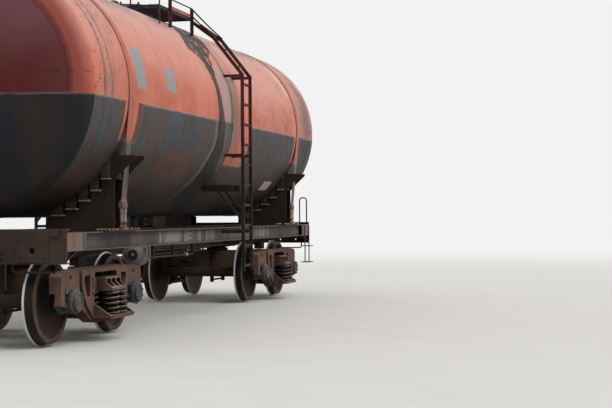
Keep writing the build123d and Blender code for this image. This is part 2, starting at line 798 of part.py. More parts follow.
for name, side in (("deck_left", -1), ("deck_right", 1)):
    deck_middle = sum(deck_x) / 2
    deck_length = deck_x[1] - deck_x[0]
    deck_width = deck_y[1] - deck_y[0]
    with BuildPart() as deck:
        for y in (deck_y[0] + frame_bar / 2, deck_y[1] - frame_bar / 2):
            with Locations((deck_middle, side * y, deck_top)):
                Box(deck_length, frame_bar, deck_depth, align=(Align.CENTER, Align.CENTER, Align.MAX))
        for x in (deck_x[0] + frame_bar / 2, deck_x[1] - frame_bar / 2):
            with Locations((x, side * sum(deck_y) / 2, deck_top)):
                Box(frame_bar, deck_width, deck_depth, align=(Align.CENTER, Align.CENTER, Align.MAX))
        for row in range(1, grating_rows + 1):
            y = deck_y[0] + deck_width * row / (grating_rows + 1)
            with Locations((deck_middle, side * y, deck_top)):
                Box(deck_length, grating_bar, grating_depth, align=(Align.CENTER, Align.CENTER, Align.MAX))
        for column in range(1, grating_columns):
            x = deck_x[0] + deck_length * column / grating_columns
            with Locations((x, side * sum(deck_y) / 2, deck_top - 4)):
                Box(grating_bar, deck_width, grating_depth, align=(Align.CENTER, Align.CENTER, Align.MAX))
        for x, top in zip(post_x, (rail_high, rail_high, rail_low + post_cap)):
            with Locations((x, side * (deck_y[1] + post[1] / 2), post_foot)):
                Box(*post, top - post_foot, align=(Align.CENTER, Align.CENTER, Align.MIN))
        with Locations((post_x[0], side * (deck_y[0] - post[1] / 2), deck_top - deck_depth)):
            post_height = rail_high - deck_top + deck_depth
            Box(*post, post_height, align=(Align.CENTER, Align.CENTER, Align.MIN))
        for z, last_post in ((rail_low, 2), (rail_high - 12, 1)):
            with BuildSketch(crosswise(post_x[0] - post[0] / 2)):
                with Locations((side * (deck_y[1] + post[1] + 6), z)):
                    Circle(hand_rail_radius)
            extrude(amount=post_x[last_post] - post_x[0] + post[0])
        for x in (post_x[0], post_x[2]):
            with Locations((x, side * (deck_y[0] + foot_tab[1] / 2), foot_tab_bottom)):
                Box(*foot_tab, deck_top - foot_tab_bottom, align=(Align.CENTER, Align.CENTER, Align.MIN))
        with BuildSketch(Plane.YZ.offset(2 * deck_x[0])):
            with Locations((0, tank_height)):
                Circle(tank_radius)
        extrude(amount=-4 * deck_x[0], mode=Mode.SUBTRACT)
    save(deck.part, name)

# Air brake: cylinder and reservoir hung between the sills, the rods and the train pipe.
reservoir_radius = 148
reservoir_dome = 45
reservoir_x = (-2120, -1840)
reservoir_y = -760
reservoir_z = rail_top + 913
hanger_inset = 85
hanger_strap = (60, 340, 30)
hanger_plate = (60, 10)
hanger_plate_y = reservoir_y - 165
hanger_rise = 60
cylinder_radius = 185
cylinder_x = (-380, 180)
cylinder_y = 640
cylinder_z = rail_top + 850
cylinder_flange = 24
push_rod = (34, 170)
lug_inset = 110
lug_size = (40, cylinder_y - centre_sill_web, 60)
lug_rise = 120

with BuildPart() as air_reservoir:
    with BuildSketch(Plane(origin=(0, reservoir_y, reservoir_z), x_dir=(1, 0, 0), z_dir=(0, -1, 0))):
        with BuildLine():
            flank, rise = dome_point(reservoir_radius, reservoir_dome, 0.6)
            start = reservoir_x[0] + reservoir_dome
            stop = reservoir_x[1] - reservoir_dome
            Line((reservoir_x[0], 0), (reservoir_x[1], 0))
            ThreePointArc((reservoir_x[1], 0), (stop + rise, flank), (stop, reservoir_radius))
            Line((stop, reservoir_radius), (start, reservoir_radius))
            ThreePointArc((start, reservoir_radius), (start - rise, flank), (reservoir_x[0], 0))
        make_face()
    revolve(axis=Axis((0, reservoir_y, reservoir_z), (1, 0, 0)))
    for x in (reservoir_x[0] + hanger_inset, reservoir_x[1] - hanger_inset):
        with Locations((x, reservoir_y, reservoir_z)):
            Box(*hanger_strap)
        with Locations((x, hanger_plate_y, reservoir_z)):
            plate_height = sill_bottom - reservoir_z + hanger_rise
            Box(*hanger_plate, plate_height, align=(Align.CENTER, Align.CENTER, Align.MIN))
        with Locations((x, -wing_end, sill_bottom + hanger_rise - hanger_plate[1])):
            arm_length = wing_end + hanger_plate_y + hanger_plate[1] / 2
            Box(hanger_plate[0], arm_length, hanger_plate[1], align=(Align.CENTER, Align.MIN, Align.CENTER))
save(air_reservoir.part, "air_reservoir")

with BuildPart() as brake_cylinder:
    with BuildSketch(crosswise(cylinder_x[0])):
        with Locations((cylinder_y, cylinder_z)):
            Circle(cylinder_radius)
    extrude(amount=cylinder_x[1] - cylinder_x[0])
    for x in (cylinder_x[0], cylinder_x[1] - cylinder_flange):
        with BuildSketch(crosswise(x)):
            with Locations((cylinder_y, cylinder_z)):
                Circle(cylinder_radius + cylinder_flange)
        extrude(amount=cylinder_flange)
    with BuildSketch(crosswise(cylinder_x[1])):
        with Locations((cylinder_y, cylinder_z)):
            Circle(push_rod[0])
    extrude(amount=push_rod[1])
    for x in (cylinder_x[0] + lug_inset, cylinder_x[1] - lug_inset):
        with Locations((x, (cylinder_y + centre_sill_web) / 2, cylinder_z + lug_rise)):
            Box(*lug_size)
save(brake_cylinder.part, "brake_cylinder")

brake_rod_y = -330
brake_rod_z = rail_top + 862
rod_reach = 2250
brake_rod_radius = 14
adjuster = (340, 46, 46)
adjuster_x = -520
rod_guide = (50, 16)
guide_inset = 150
guide_arm = (50, 140, 12)

with BuildPart() as brake_rods:
    with BuildSketch(crosswise(-rod_reach)):
        with Locations((brake_rod_y, brake_rod_z)):
            Circle(brake_rod_radius)
    extrude(amount=2 * rod_reach)
    with Locations((adjuster_x, brake_rod_y, brake_rod_z)):
        Box(*adjuster)
    for x in (guide_inset - rod_reach, rod_reach - guide_inset):
        with Locations((x, brake_rod_y, brake_rod_z - rod_guide[1])):
            guide_height = centre_sill_bottom - brake_rod_z + rod_guide[1]
            Box(*rod_guide, guide_height, align=(Align.CENTER, Align.CENTER, Align.MIN))
        with Locations((x, brake_rod_y + 40, centre_sill_bottom - guide_arm[2])):
            Box(*guide_arm, align=(Align.CENTER, Align.CENTER, Align.MIN))
save(brake_rods.part, "brake_rods")

pipe_radius = 21
pipe_y = 320
pipe_z = rail_top + 870
pipe_end = frame_length / 2 + 60
hanger_places = (-5000, -3000, -1000, 1000, 3000, 5000)
pipe_hanger = (40, 30, 12)
cock_body = (90, 70, 70)
cock_nipple = (26, 50)

with BuildPart() as train_pipe:
    with BuildSketch(crosswise(-pipe_end)):
        with Locations((pipe_y, pipe_z)):
            Circle(pipe_radius)
    extrude(amount=2 * pipe_end)
    for x in hanger_places:
        hanger_inner = centre_sill_web + 20
        with Locations((x, hanger_inner, centre_sill_bottom)):
            arm_length = pipe_y - hanger_inner
            Box(pipe_hanger[0], arm_length, pipe_hanger[2], align=(Align.CENTER, Align.MIN, Align.MAX))
        with Locations((x, pipe_y, centre_sill_bottom)):
            hanger_drop = centre_sill_bottom - pipe_z
            Box(*pipe_hanger[:2], hanger_drop, align=(Align.CENTER, Align.CENTER, Align.MAX))
    for end in (-1, 1):
        with Locations((end * (pipe_end + cock_body[0] / 3), pipe_y, pipe_z)):
            Box(*cock_body)
        with BuildSketch(crosswise(end * (pipe_end + cock_body[0] * 5 / 6))):
            with Locations((pipe_y, pipe_z - 6)):
                Circle(cock_nipple[0])
        extrude(amount=end * cock_nipple[1])
save(train_pipe.part, "train_pipe")

# Drain valve under the tank's sump: a body through the cover plate, the outlet flange and its cap.
# Columns: height, radius.
drain_steps = (
    (sump_bottom, 130),
    (sump_bottom - 22, 130),
    (sump_bottom - 22, 105),
    (rail_top + 800, 105),
    (rail_top + 800, 150),
    (rail_top + 776, 150),
    (rail_top + 776, 112),
    (rail_top + 700, 112),
    (rail_top + 700, 138),
    (rail_top + 670, 138),
    (rail_top + 655, 60),
)

with BuildPart() as drain_valve:
    with BuildSketch(lengthwise(0, hatch_x)):
        with BuildLine():
            drain_edge = [(radius, height) for height, radius in drain_steps]
            Polyline((0, drain_edge[0][1]), *drain_edge, (0, drain_edge[-1][1]), close=True)
        make_face()
    revolve(axis=Axis((hatch_x, 0, 0), (0, 0, 1)))
save(drain_valve.part, "drain_valve")

# Corner steps and hand rails, on the two corners where a shunter rides.
step_x = frame_length / 2 - 120
step_bottom = rail_top + 560
step_width = 300
step_inset = 80
step_stile = (40, 10)
step_y_place = sill_outer + step_stile[1] / 2
tread_size = (step_width, 160, 12)
tread_spacing = 290
grip_y = (1120, 1250)
grip_top = rail_top + 1730
grip_bend = 50

with BuildPart() as corner_steps:
    for end, side in ((1, -1), (-1, 1)):
        for shift in (-step_width / 2, step_width / 2):
            with Locations((end * (step_x - step_inset) + shift, side * step_y_place, step_bottom)):
                Box(*step_stile, sill_top - 20 - step_bottom, align=(Align.CENTER, Align.CENTER, Align.MIN))
        for z in (step_bottom, step_bottom + tread_spacing):
            with Locations((end * (step_x - step_inset), side * step_y_place, z)):
                Box(*tread_size, align=(Align.CENTER, Align.CENTER, Align.MIN))
        x = end * (frame_length / 2 - bar_inset)
        with BuildSketch(Plane(origin=(x, side * grip_y[0], end_top), x_dir=(1, 0, 0), z_dir=(0, 0, 1))):
            Circle(bar_radius)
        with BuildLine():
            FilletPolyline(
                (x, side * grip_y[0], end_top),
                (x, side * grip_y[0], grip_top),
                (x, side * grip_y[1], grip_top),
                (x, side * grip_y[1], end_top),
                radius=grip_bend,
            )
        sweep()
save(corner_steps.part, "corner_steps")

# Bogies: cast side frames, bolster, spring nests, axle boxes and brake gear round each pivot.
frame_thickness = 140
frame_end_thickness = 76
side_frame_y = journal_spacing / 2
frame_inner = side_frame_y - frame_thickness / 2
frame_face = side_frame_y + frame_thickness / 2
jaw_inner = wheelbase / 2 - 175
jaw_outer = wheelbase / 2 + 175
jaw_top = axle_height + 157
leg_bottom = 462
leg_top = 604
seat_top = 313
spring_top = 585
# Right half of a side frame's outline, from its top middle outward and back.
# Columns: distance from the pivot, height, corner radius.
frame_outline = (
    (0, 872, 0),
    (640, 864, 400),
    (1150, 834, 60),
    (1206, 790, 36),
    (1206, leg_bottom, 14),
    (jaw_outer, leg_bottom, 10),
    (jaw_outer, jaw_top, 0),
    (jaw_inner, jaw_top, 0),
    (jaw_inner, leg_bottom + 8, 10),
    (690, 440, 50),
    (445, 285, 120),
    (290, 224, 80),
    (0, 218, 0),
)
# Right half of the window that the bolster and springs stand in.
frame_window = (
    (0, 806, 0),
    (333, 806, 34),
    (333, 645, 20),
    (354, 605, 20),
    (354, seat_top, 12),
    (0, seat_top, 0),
)
side_window = ((466, 782, 24), (650, 768, 40), (556, 535, 18), (478, 525, 18))
end_hole_radius = 26
end_hole_place = (950, 772)
# Right half of the raised face round the windows, like the outline's table.
raised_outline = (
    (0, 858, 0),
    (700, 848, 60),
    (700, 640, 60),
    (560, 430, 80),
    (390, 292, 90),
    (270, 238, 60),
    (0, 232, 0),
)
raised_height = 30
end_relief = (200, frame_thickness - frame_end_thickness, 300)
end_relief_start = jaw_outer - 15
spring_seat = (690, 640, 40)
seat_corner = 60
# Gusset from the raised face to the seat's outer edge. Columns: distance from the middle, height.
seat_gusset = ((1110, 450), (1326, 308), (1326, 280), (1110, 280))
gusset_place = 340
gusset_thickness = 22

# Springs: seven in a nest, each with the coil's grooves. Columns: along the car, across it.
spring_places = ((-240, 0), (0, 0), (240, 0), (-120, -208), (120, -208), (-120, 208), (120, 208))
spring_turns = 4
# One turn of the coil's edge. Columns: share of the turn, radius.
coil_edge = ((0, 100), (0.42, 100), (0.55, 78), (0.87, 78))
last_turn = 2

bolster_end = 1290
# Right half of the bolster's outline across the car. Columns: distance from the middle, height, radius.
bolster_outline = (
    (0, 840, 0),
    (300, 838, 60),
    (640, 800, 60),
    (880, 742, 60),
    (1213, 742, 10),
    (1213, 684, 0),
    (bolster_end, 618, 0),
    (bolster_end, spring_top, 8),
    (700, spring_top, 0),
    (520, 500, 60),
    (0, 470, 0),
)
bolster_half = 225
bolster_slot = (150, 76)
bolster_slot_place = (480, 655)
pocket_places = (-146, 0, 146)
pocket = (118, 96, 26)
pocket_z = 676
pocket_depth = 150
# Friction wedge beside the bolster. Columns: distance from the pivot, height.
wedge_outline = ((225, spring_top), (326, spring_top), (326, 672), (284, 742), (225, 742))
wedge_width = 150
bowl_radius = 152
bowl_rim = 185
bowl_floor = 858
bowl_top = 886
bowl_base = 800
bearing_block = (240, 150, 120)
bearing_base = 740

# Axle boxes: turned body with a ribbed flank and a bolted cover. Columns: distance from the middle, radius.
box_steps = (
    (938, 122),
    (950, 138),
    (984, 138),
    (992, 127),
    (1104, 127),
    (1108, 138),
    (1140, 138),
    (1148, 114),
    (1178, 114),
    (1184, 107),
    (1184, 84),
    (1174, 76),
    (1174, 30),
    (1180, 26),
)
box_bore_end = 1150
box_saddle = (342, 150)
saddle_base = axle_height + 96
box_lug = (342, 54)
journal_radius = 65
journal_gap = 0.08
axle_end = 1147

shoe_gap = 6
shoe_thickness = 55
shoe_y = 803
shoe_width = 86
shoe_half_angle = 19
hanger = (44, 14, 290)
hanger_y = 890
hanger_pin_radius = 15
hanger_pin_rise = 240
beam_x = 372
beam_z = axle_height - 30
beam_radius = 26
beam_half_length = 910
fulcrum = (80, 100, 50)
lever = (30, 60, 520)
lever_bottom = 300
lever_shift = 60
pull_rod_radius = 16
pull_rod_z = 340


def mirrored(right_half):
    """Whole outline from the corners of its right half, whose first and last lie on the axis."""
    return [*right_half, *[(-across, up, radius) for across, up, radius in right_half[-2:0:-1]]]


with BuildPart(mode=Mode.PRIVATE) as spring:
    with BuildSketch(Plane.XZ):
        with BuildLine():
            pitch = (spring_top - seat_top) / (spring_turns + coil_edge[1][0])
            edge = [
                (radius, seat_top + pitch * (turn + share))
                for turn in range(spring_turns + 1)
                for share, radius in (coil_edge if turn < spring_turns else coil_edge[:last_turn])
            ]
            Polyline((0, seat_top), *edge, (0, spring_top), close=True)
        make_face()
    revolve(axis=Axis.Z)

for number, pivot in ((1, -bogie_spacing / 2), (2, bogie_spacing / 2)):
    with BuildPart() as side_frames:
        for side in (-1, 1):
            with BuildSketch(lengthwise(side * side_frame_y + frame_thickness / 2, pivot)):
                with BuildLine():
                    rounded_outline(mirrored(frame_outline))
                make_face()
            extrude(amount=frame_thickness)
            with BuildSketch(lengthwise(side * frame_face, pivot)):
                with BuildLine():
                    rounded_outline(mirrored(raised_outline))
                make_face()
            extrude(amount=-side * raised_height)
            with BuildSketch(lengthwise(side * side_frame_y + frame_thickness, pivot)):
                with BuildLine():
                    rounded_outline(mirrored(frame_window))
                make_face()
                for way in (-1, 1):
                    with BuildLine():
                        rounded_outline([(way * x, z, radius) for x, z, radius in side_window])
                    make_face()
                    with Locations((way * end_hole_place[0], end_hole_place[1])):
                        Circle(end_hole_radius)
            extrude(amount=2 * frame_thickness, mode=Mode.SUBTRACT)
            with BuildSketch(Plane.XY.offset(seat_top - spring_seat[2])):
                with Locations((pivot, side * side_frame_y)):
                    RectangleRounded(spring_seat[0], spring_seat[1], seat_corner)
            extrude(amount=spring_seat[2])
            for way in (-1, 1):
                with BuildSketch(crosswise(pivot + way * gusset_place)):
                    with BuildLine():
                        Polyline(*[(side * y, z) for y, z in seat_gusset], close=True)
                    make_face()
                extrude(amount=way * gusset_thickness)
                relief_sides = (Align.MIN if way > 0 else Align.MAX, Align.MIN if side > 0 else Align.MAX)
                with Locations((pivot + way * end_relief_start, side * frame_inner, leg_top)):
                    Box(*end_relief, align=(*relief_sides, Align.MAX), mode=Mode.SUBTRACT)
    save(side_frames.part, f"bogie_{number}_side_frames")

    with BuildPart() as springs:
        for side in (-1, 1):
            with Locations(*[(pivot + dx, side * side_frame_y + dy) for dx, dy in spring_places]):
                add(spring.part)
    save(springs.part, f"bogie_{number}_springs")

    with BuildPart() as bolster:
        with BuildSketch(crosswise(pivot - bolster_half)):
            with BuildLine():
                rounded_outline(mirrored(bolster_outline))
            make_face()
            with Locations(*[(side * bolster_slot_place[0], bolster_slot_place[1]) for side in (-1, 1)]):
                SlotCenterToCenter(bolster_slot[0], bolster_slot[1], mode=Mode.SUBTRACT)
        extrude(amount=2 * bolster_half)
        with BuildSketch(Plane.XY.offset(bowl_base)):
            with Locations((pivot, 0)):
                Circle(bowl_rim)
        extrude(amount=bowl_top - bowl_base)
        with BuildSketch(Plane.XY.offset(bowl_floor)):
            with Locations((pivot, 0)):
                Circle(bowl_radius)
        extrude(amount=bowl_top, mode=Mode.SUBTRACT)
        for side in (-1, 1):
            with Locations((pivot, side * bearing_y, bearing_base)):
                Box(*bearing_block, align=(Align.CENTER, Align.CENTER, Align.MIN))
            with BuildSketch(lengthwise(side * bolster_end, pivot)):
                for dx in pocket_places:
                    with Locations((dx, pocket_z)):
                        RectangleRounded(*pocket)
            extrude(amount=side * pocket_depth, mode=Mode.SUBTRACT)
            with BuildSketch(lengthwise(side * side_frame_y + wedge_width / 2, pivot)):
                for way in (-1, 1):
                    with BuildLine():
                        Polyline(*[(way * x, z) for x, z in wedge_outline], close=True)
                    make_face()
            extrude(amount=wedge_width)
    save(bolster.part, f"bogie_{number}_bolster")

    with BuildPart() as axle_boxes:
        for axle_x in (pivot - wheelbase / 2, pivot + wheelbase / 2):
            for side in (-1, 1):
                with BuildSketch(crosswise(axle_x, axle_height)):
                    with BuildLine():
                        turned = [(side * y, radius) for y, radius in box_steps]
                        Polyline((turned[0][0], 0), *turned, (turned[-1][0], 0), close=True)
                    make_face()
                revolve(axis=Axis((axle_x, 0, axle_height), (0, 1, 0)))
                with BuildSketch(lengthwise(side * frame_inner, axle_x)):
                    with Locations((0, saddle_base)):
                        Rectangle(box_saddle[0], jaw_top - saddle_base, align=(Align.CENTER, Align.MIN))
                    with Locations((0, axle_height - box_lug[1] / 2)):
                        Rectangle(box_lug[0], box_lug[1])
                extrude(amount=-side * box_saddle[1])
                with BuildSketch(lengthwise(side * box_steps[0][0], axle_x)):
                    with Locations((0, axle_height)):
                        Circle(journal_radius + journal_gap)
                extrude(amount=-side * (box_bore_end - box_steps[0][0]), mode=Mode.SUBTRACT)
    save(axle_boxes.part, f"bogie_{number}_axle_boxes")

    with BuildPart() as brake_gear:
        for way in (-1, 1):
            shoe_centre = way * wheelbase / 2
            facing = 180 if way > 0 else 0
            first = radians(facing - shoe_half_angle)
            last = radians(facing + shoe_half_angle)
            inner = wheel_radius + shoe_gap
            outer = inner + shoe_thickness
            for side in (-1, 1):
                with BuildSketch(lengthwise(side * shoe_y + shoe_width / 2, pivot)):
                    with BuildLine():
                        near = ThreePointArc(
                            (shoe_centre + inner * cos(first), axle_height + inner * sin(first)),
                            (shoe_centre - way * inner, axle_height),
                            (shoe_centre + inner * cos(last), axle_height + inner * sin(last)),
                        )
                        far = ThreePointArc(
                            (shoe_centre + outer * cos(first), axle_height + outer * sin(first)),
                            (shoe_centre - way * outer, axle_height),
                            (shoe_centre + outer * cos(last), axle_height + outer * sin(last)),
                        )
                        Line(near @ 0, far @ 0)
                        Line(near @ 1, far @ 1)
                    make_face()
                extrude(amount=shoe_width)
                with Locations((pivot + way * beam_x, side * hanger_y, beam_z)):
                    Box(*hanger, align=(Align.CENTER, Align.CENTER, Align.MIN))
                with BuildSketch(lengthwise(side * hanger_y, pivot)):
                    with Locations((way * beam_x, beam_z + hanger_pin_rise)):
                        Circle(hanger_pin_radius)
                extrude(amount=-side * (frame_inner - hanger_y))
            with BuildSketch(lengthwise(beam_half_length, pivot)):
                with Locations((way * beam_x, beam_z)):
                    Circle(beam_radius)
            extrude(amount=2 * beam_half_length)
            with Locations((pivot + way * (beam_x - lever_shift), 0, lever_bottom)):
                Box(*lever, align=(Align.CENTER, Align.CENTER, Align.MIN))
            with Locations((pivot + way * (beam_x - fulcrum[0] / 2), 0, beam_z)):
                Box(*fulcrum)
        with BuildSketch(crosswise(pivot - beam_x + lever_shift)):
            with Locations((0, pull_rod_z)):
                Circle(pull_rod_radius)
        extrude(amount=2 * (beam_x - lever_shift))
    save(brake_gear.part, f"bogie_{number}_brake_gear")

# Wheelsets: an axle turned in steps, and two wheels with flange, tread, dished plate and hub.
# Right half of the axle. Columns: distance from the middle, radius.
axle_steps = (
    (0, 80),
    (640, 80),
    (690, 97),
    (895, 97),
    (898, 82),
    (930, 82),
    (936, journal_radius),
    (axle_end, journal_radius),
)
# Section of a wheel. Columns: distance from the middle of the car, radius, corner radius.
wheel_section = (
    (703, 97, 0),
    (703, 138, 0),
    (752, 150, 36),
    (742, 396, 38),
    (720, 410, 0),
    (720, 488, 0),
    (728, 503, 0),
    (740, 502, 0),
    (752, 482, 0),
    (764, wheel_radius, 0),
    (820, 472, 0),
    (850, 466, 0),
    (850, 410, 0),
    (776, 396, 36),
    (790, 150, 36),
    (885, 134, 0),
    (885, 97, 0),
)

axle_places = [end * bogie_spacing / 2 + way * wheelbase / 2 for end in (-1, 1) for way in (-1, 1)]
for number, x in enumerate(axle_places, start=1):
    spin_axis = Axis((x, 0, axle_height), (0, 1, 0))
    with BuildPart() as axle:
        with BuildSketch(crosswise(x, axle_height)):
            with BuildLine():
                left_steps = [(-y, radius) for y, radius in reversed(axle_steps[1:])]
                Polyline((-axle_end, 0), *left_steps, *axle_steps[1:], (axle_end, 0), close=True)
            make_face()
        revolve(axis=spin_axis)
    save(axle.part, f"axle_{number}")

    with BuildPart() as wheels:
        for side in (-1, 1):
            with BuildSketch(crosswise(x, axle_height)):
                with BuildLine():
                    rounded_outline([(side * y, radius, corner) for y, radius, corner in wheel_section])
                make_face()
            revolve(axis=spin_axis)
    save(wheels.part, f"wheels_{number}")
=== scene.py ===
import json
import math
from types import SimpleNamespace

import bmesh
import bpy
import numpy as np
from mathutils import Matrix, Vector


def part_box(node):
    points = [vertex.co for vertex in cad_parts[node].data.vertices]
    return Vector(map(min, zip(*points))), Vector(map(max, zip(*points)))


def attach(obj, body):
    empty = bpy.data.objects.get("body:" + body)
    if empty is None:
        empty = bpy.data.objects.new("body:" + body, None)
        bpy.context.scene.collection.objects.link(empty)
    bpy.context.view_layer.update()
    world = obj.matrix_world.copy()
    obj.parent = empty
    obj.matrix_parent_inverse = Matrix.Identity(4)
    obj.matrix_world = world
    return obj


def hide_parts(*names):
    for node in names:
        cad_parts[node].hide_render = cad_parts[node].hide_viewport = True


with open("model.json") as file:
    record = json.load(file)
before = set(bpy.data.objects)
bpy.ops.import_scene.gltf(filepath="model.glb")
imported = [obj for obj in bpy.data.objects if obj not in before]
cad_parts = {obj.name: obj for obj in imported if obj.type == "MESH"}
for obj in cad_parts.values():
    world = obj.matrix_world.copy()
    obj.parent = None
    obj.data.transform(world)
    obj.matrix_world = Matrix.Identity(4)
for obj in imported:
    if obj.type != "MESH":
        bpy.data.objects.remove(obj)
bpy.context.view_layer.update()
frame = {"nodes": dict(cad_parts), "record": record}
cadNodes = frame["nodes"]
scene = bpy.context.scene
print("frame loaded:", len(cadNodes), "nodes")

# What the frame gives: the tank, the wheels and the two bogies. All in metres.
tankLow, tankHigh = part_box("tank")
tankRadius = tankHigh.y
tankAxis = tankHigh.z - tankRadius
wheelLow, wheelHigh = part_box("wheels_1")
axleHeight = (wheelLow.z + wheelHigh.z) / 2
axleX = [sum(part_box(f"wheels_{n}")[k].x for k in (0, 1)) / 2 for n in (1, 2, 3, 4)]
pivotX = [(axleX[0] + axleX[1]) / 2, (axleX[2] + axleX[3]) / 2]
halfBase = (axleX[1] - axleX[0]) / 2
sillLow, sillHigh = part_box("side_sills")


# Camera

# Its place and its turn were solved on the wheels, sills and straps of the photograph.
view = {
    "focalPixels": 1359.04,
    "photoWidth": 612,
    "place": (-18.7875, -7.2203, 1.4496),
    "yaw": 0.2427,  # from +X towards +Y, radians
    "pitch": 0.0078,
    "roll": -0.0069,
}


def aimCamera(look):
    ahead = np.array([
        math.cos(look["pitch"]) * math.cos(look["yaw"]),
        math.cos(look["pitch"]) * math.sin(look["yaw"]),
        math.sin(look["pitch"]),
    ])
    level = np.array([math.sin(look["yaw"]), -math.cos(look["yaw"]), 0])
    rise = np.cross(level, ahead)
    right = level * math.cos(look["roll"]) + rise * math.sin(look["roll"])
    up = -level * math.sin(look["roll"]) + rise * math.cos(look["roll"])
    lens = bpy.data.cameras.new("photoCamera")
    lens.sensor_fit = "HORIZONTAL"
    lens.sensor_width = 36
    lens.lens = look["focalPixels"] * lens.sensor_width / look["photoWidth"]
    lens.clip_end = 400
    camera = bpy.data.objects.new("photoCamera", lens)
    scene.collection.objects.link(camera)
    turned = Matrix(np.column_stack([right, up, -ahead]).tolist()).to_4x4()
    camera.matrix_world = Matrix.Translation(Vector(look["place"])) @ turned
    scene.camera = camera


aimCamera(view)
scene.view_settings.view_transform = "Standard"


# Shader tools

# One node with its inputs: a socket is linked, anything else is the input's own value.
def addNode(tree, kind, inputs=None, **settings):
    node = tree.nodes.new("ShaderNode" + kind)
    for key, value in settings.items():
        setattr(node, key, value)
    for key, value in (inputs or {}).items():
        if isinstance(value, bpy.types.NodeSocket):
            tree.links.new(value, node.inputs[key])
        else:
            node.inputs[key].default_value = value
    return node


# The node tree that the first linked socket among some values belongs to.
def treeOf(*values):
    return next(value.id_data for value in values if isinstance(value, bpy.types.NodeSocket))


def maths(operation, *values, clamp=False):
    node = addNode(treeOf(*values), "Math", dict(enumerate(values)), operation=operation, use_clamp=clamp)
    return node.outputs[0]


# Rises smoothly from 0 to 1 as the value goes from low to high, or falls if low is the higher.
def fade(value, low, high):
    ends = {"Value": value, "From Min": low, "From Max": high}
    if not isinstance(low, bpy.types.NodeSocket) and low > high:
        ends.update({"From Min": high, "From Max": low, "To Min": 1.0, "To Max": 0.0})
    return addNode(treeOf(value), "MapRange", ends, interpolation_type="SMOOTHSTEP").outputs[0]


# 1 between two values, 0 outside, with soft edges.
def band(value, low, high, edge):
    rising = fade(value, low - edge, low + edge)
    falling = fade(value, high + edge, high - edge)
    return maths("MULTIPLY", rising, falling)


# One colour over another. A colour is a socket, a tuple or a code such as "df7b60".
def mixColour(share, under, over):
    under, over = [paint(colour) if isinstance(colour, str) else colour for colour in (under, over)]
    return addNode(treeOf(share), "Mix", {0: share, 6: under, 7: over}, data_type="RGBA").outputs[2]


# Written as the screen shows it, turned to the linear value that a shader takes.
def paint(hexCode):
    parts = np.array([int(hexCode[k:k + 2], 16) / 255 for k in (0, 2, 4)])
    linear = np.where(parts <= 0.04045, parts / 12.92, ((parts + 0.055) / 1.055) ** 2.4)
    return (*linear.tolist(), 1.0)


def noise(vector, scale, detail=4.0, roughness=0.55):
    settings = {"Vector": vector, "Scale": scale, "Detail": detail, "Roughness": roughness}
    return addNode(treeOf(vector), "TexNoise", settings).outputs[0]


def position(tree):
    return addNode(tree, "TexCoord").outputs["Object"]


def stretched(vector, along, across, up):
    scale = {0: vector, 1: (along, across, up)}
    return addNode(treeOf(vector), "VectorMath", scale, operation="MULTIPLY").outputs[0]


# A group of nodes whose inputs and outputs are numbers. The inputs come with their usual values.
def newGroup(name, inputs, outputs):
    group = bpy.data.node_groups.new(name, "ShaderNodeTree")
    for label, value in inputs.items():
        socket = group.interface.new_socket(name=label, in_out="INPUT", socket_type="NodeSocketFloat")
        socket.default_value = value
    for label in outputs:
        group.interface.new_socket(name=label, in_out="OUTPUT", socket_type="NodeSocketFloat")
    start = group.nodes.new("NodeGroupInput")
    end = group.nodes.new("NodeGroupOutput")
    return group, start.outputs, end.inputs


def useGroup(tree, group, **values):
    node = tree.nodes.new("ShaderNodeGroup")
    node.node_tree = group
    for label, value in values.items():
        if isinstance(value, bpy.types.NodeSocket):
            tree.links.new(value, node.inputs[label])
        else:
            node.inputs[label].default_value = value
    return node.outputs


# Place of the shaded spot: along, across and up, in metres.
def placeParts(tree):
    return addNode(tree, "SeparateXYZ", {0: position(tree)}).outputs


# How far the surface faces up: 1 on top, 0 on a wall.
def facingUp(tree):
    normal = addNode(tree, "NewGeometry").outputs["Normal"]
    return addNode(tree, "SeparateXYZ", {0: normal}).outputs[2]


# The value that a table gives for another value, by straight lines. Columns: given, wanted.
def alongTable(value, table):
    tree = treeOf(value)
    given, wanted = np.array(sorted(table)).T
    lowest, highest = float(wanted.min()), float(wanted.max())
    ends = {"Value": value, "From Min": float(given[0]), "From Max": float(given[-1])}
    share = addNode(tree, "MapRange", ends).outputs[0]
    curve = addNode(tree, "FloatCurve", {"Value": share})
    line = curve.mapping.curves[0]
    shares = (given - given[0]) / (given[-1] - given[0])
    heights = (wanted - lowest) / (highest - lowest)
    line.points[0].location = (0.0, float(heights[0]))
    line.points[1].location = (1.0, float(heights[-1]))
    for spot, height in zip(shares[1:-1], heights[1:-1]):
        line.points.new(float(spot), float(height))
    for point in line.points:
        point.handle_type = "VECTOR"
    curve.mapping.update()
    back = {"Value": curve.outputs[0], "To Min": lowest, "To Max": highest}
    return addNode(tree, "MapRange", back).outputs[0]


def product(*values):
    result = values[0]
    for value in values[1:]:
        result = maths("MULTIPLY", result, value)
    return result


def largest(*values):
    result = values[0]
    for value in values[1:]:
        result = maths("MAXIMUM", result, value)
    return result


def opposite(value):
    return maths("SUBTRACT", 1.0, value)


# 1 between two values of which each may change over the surface.
def between(value, low, high, edge):
    rising = fade(maths("SUBTRACT", value, low), -edge, edge)
    falling = fade(maths("SUBTRACT", high, value), -edge, edge)
    return product(rising, falling)


# A line of a given half width at a value.
def lineAt(value, place, halfWidth):
    offset = maths("ABSOLUTE", maths("SUBTRACT", value, place))
    return fade(offset, halfWidth, 0.4 * halfWidth)


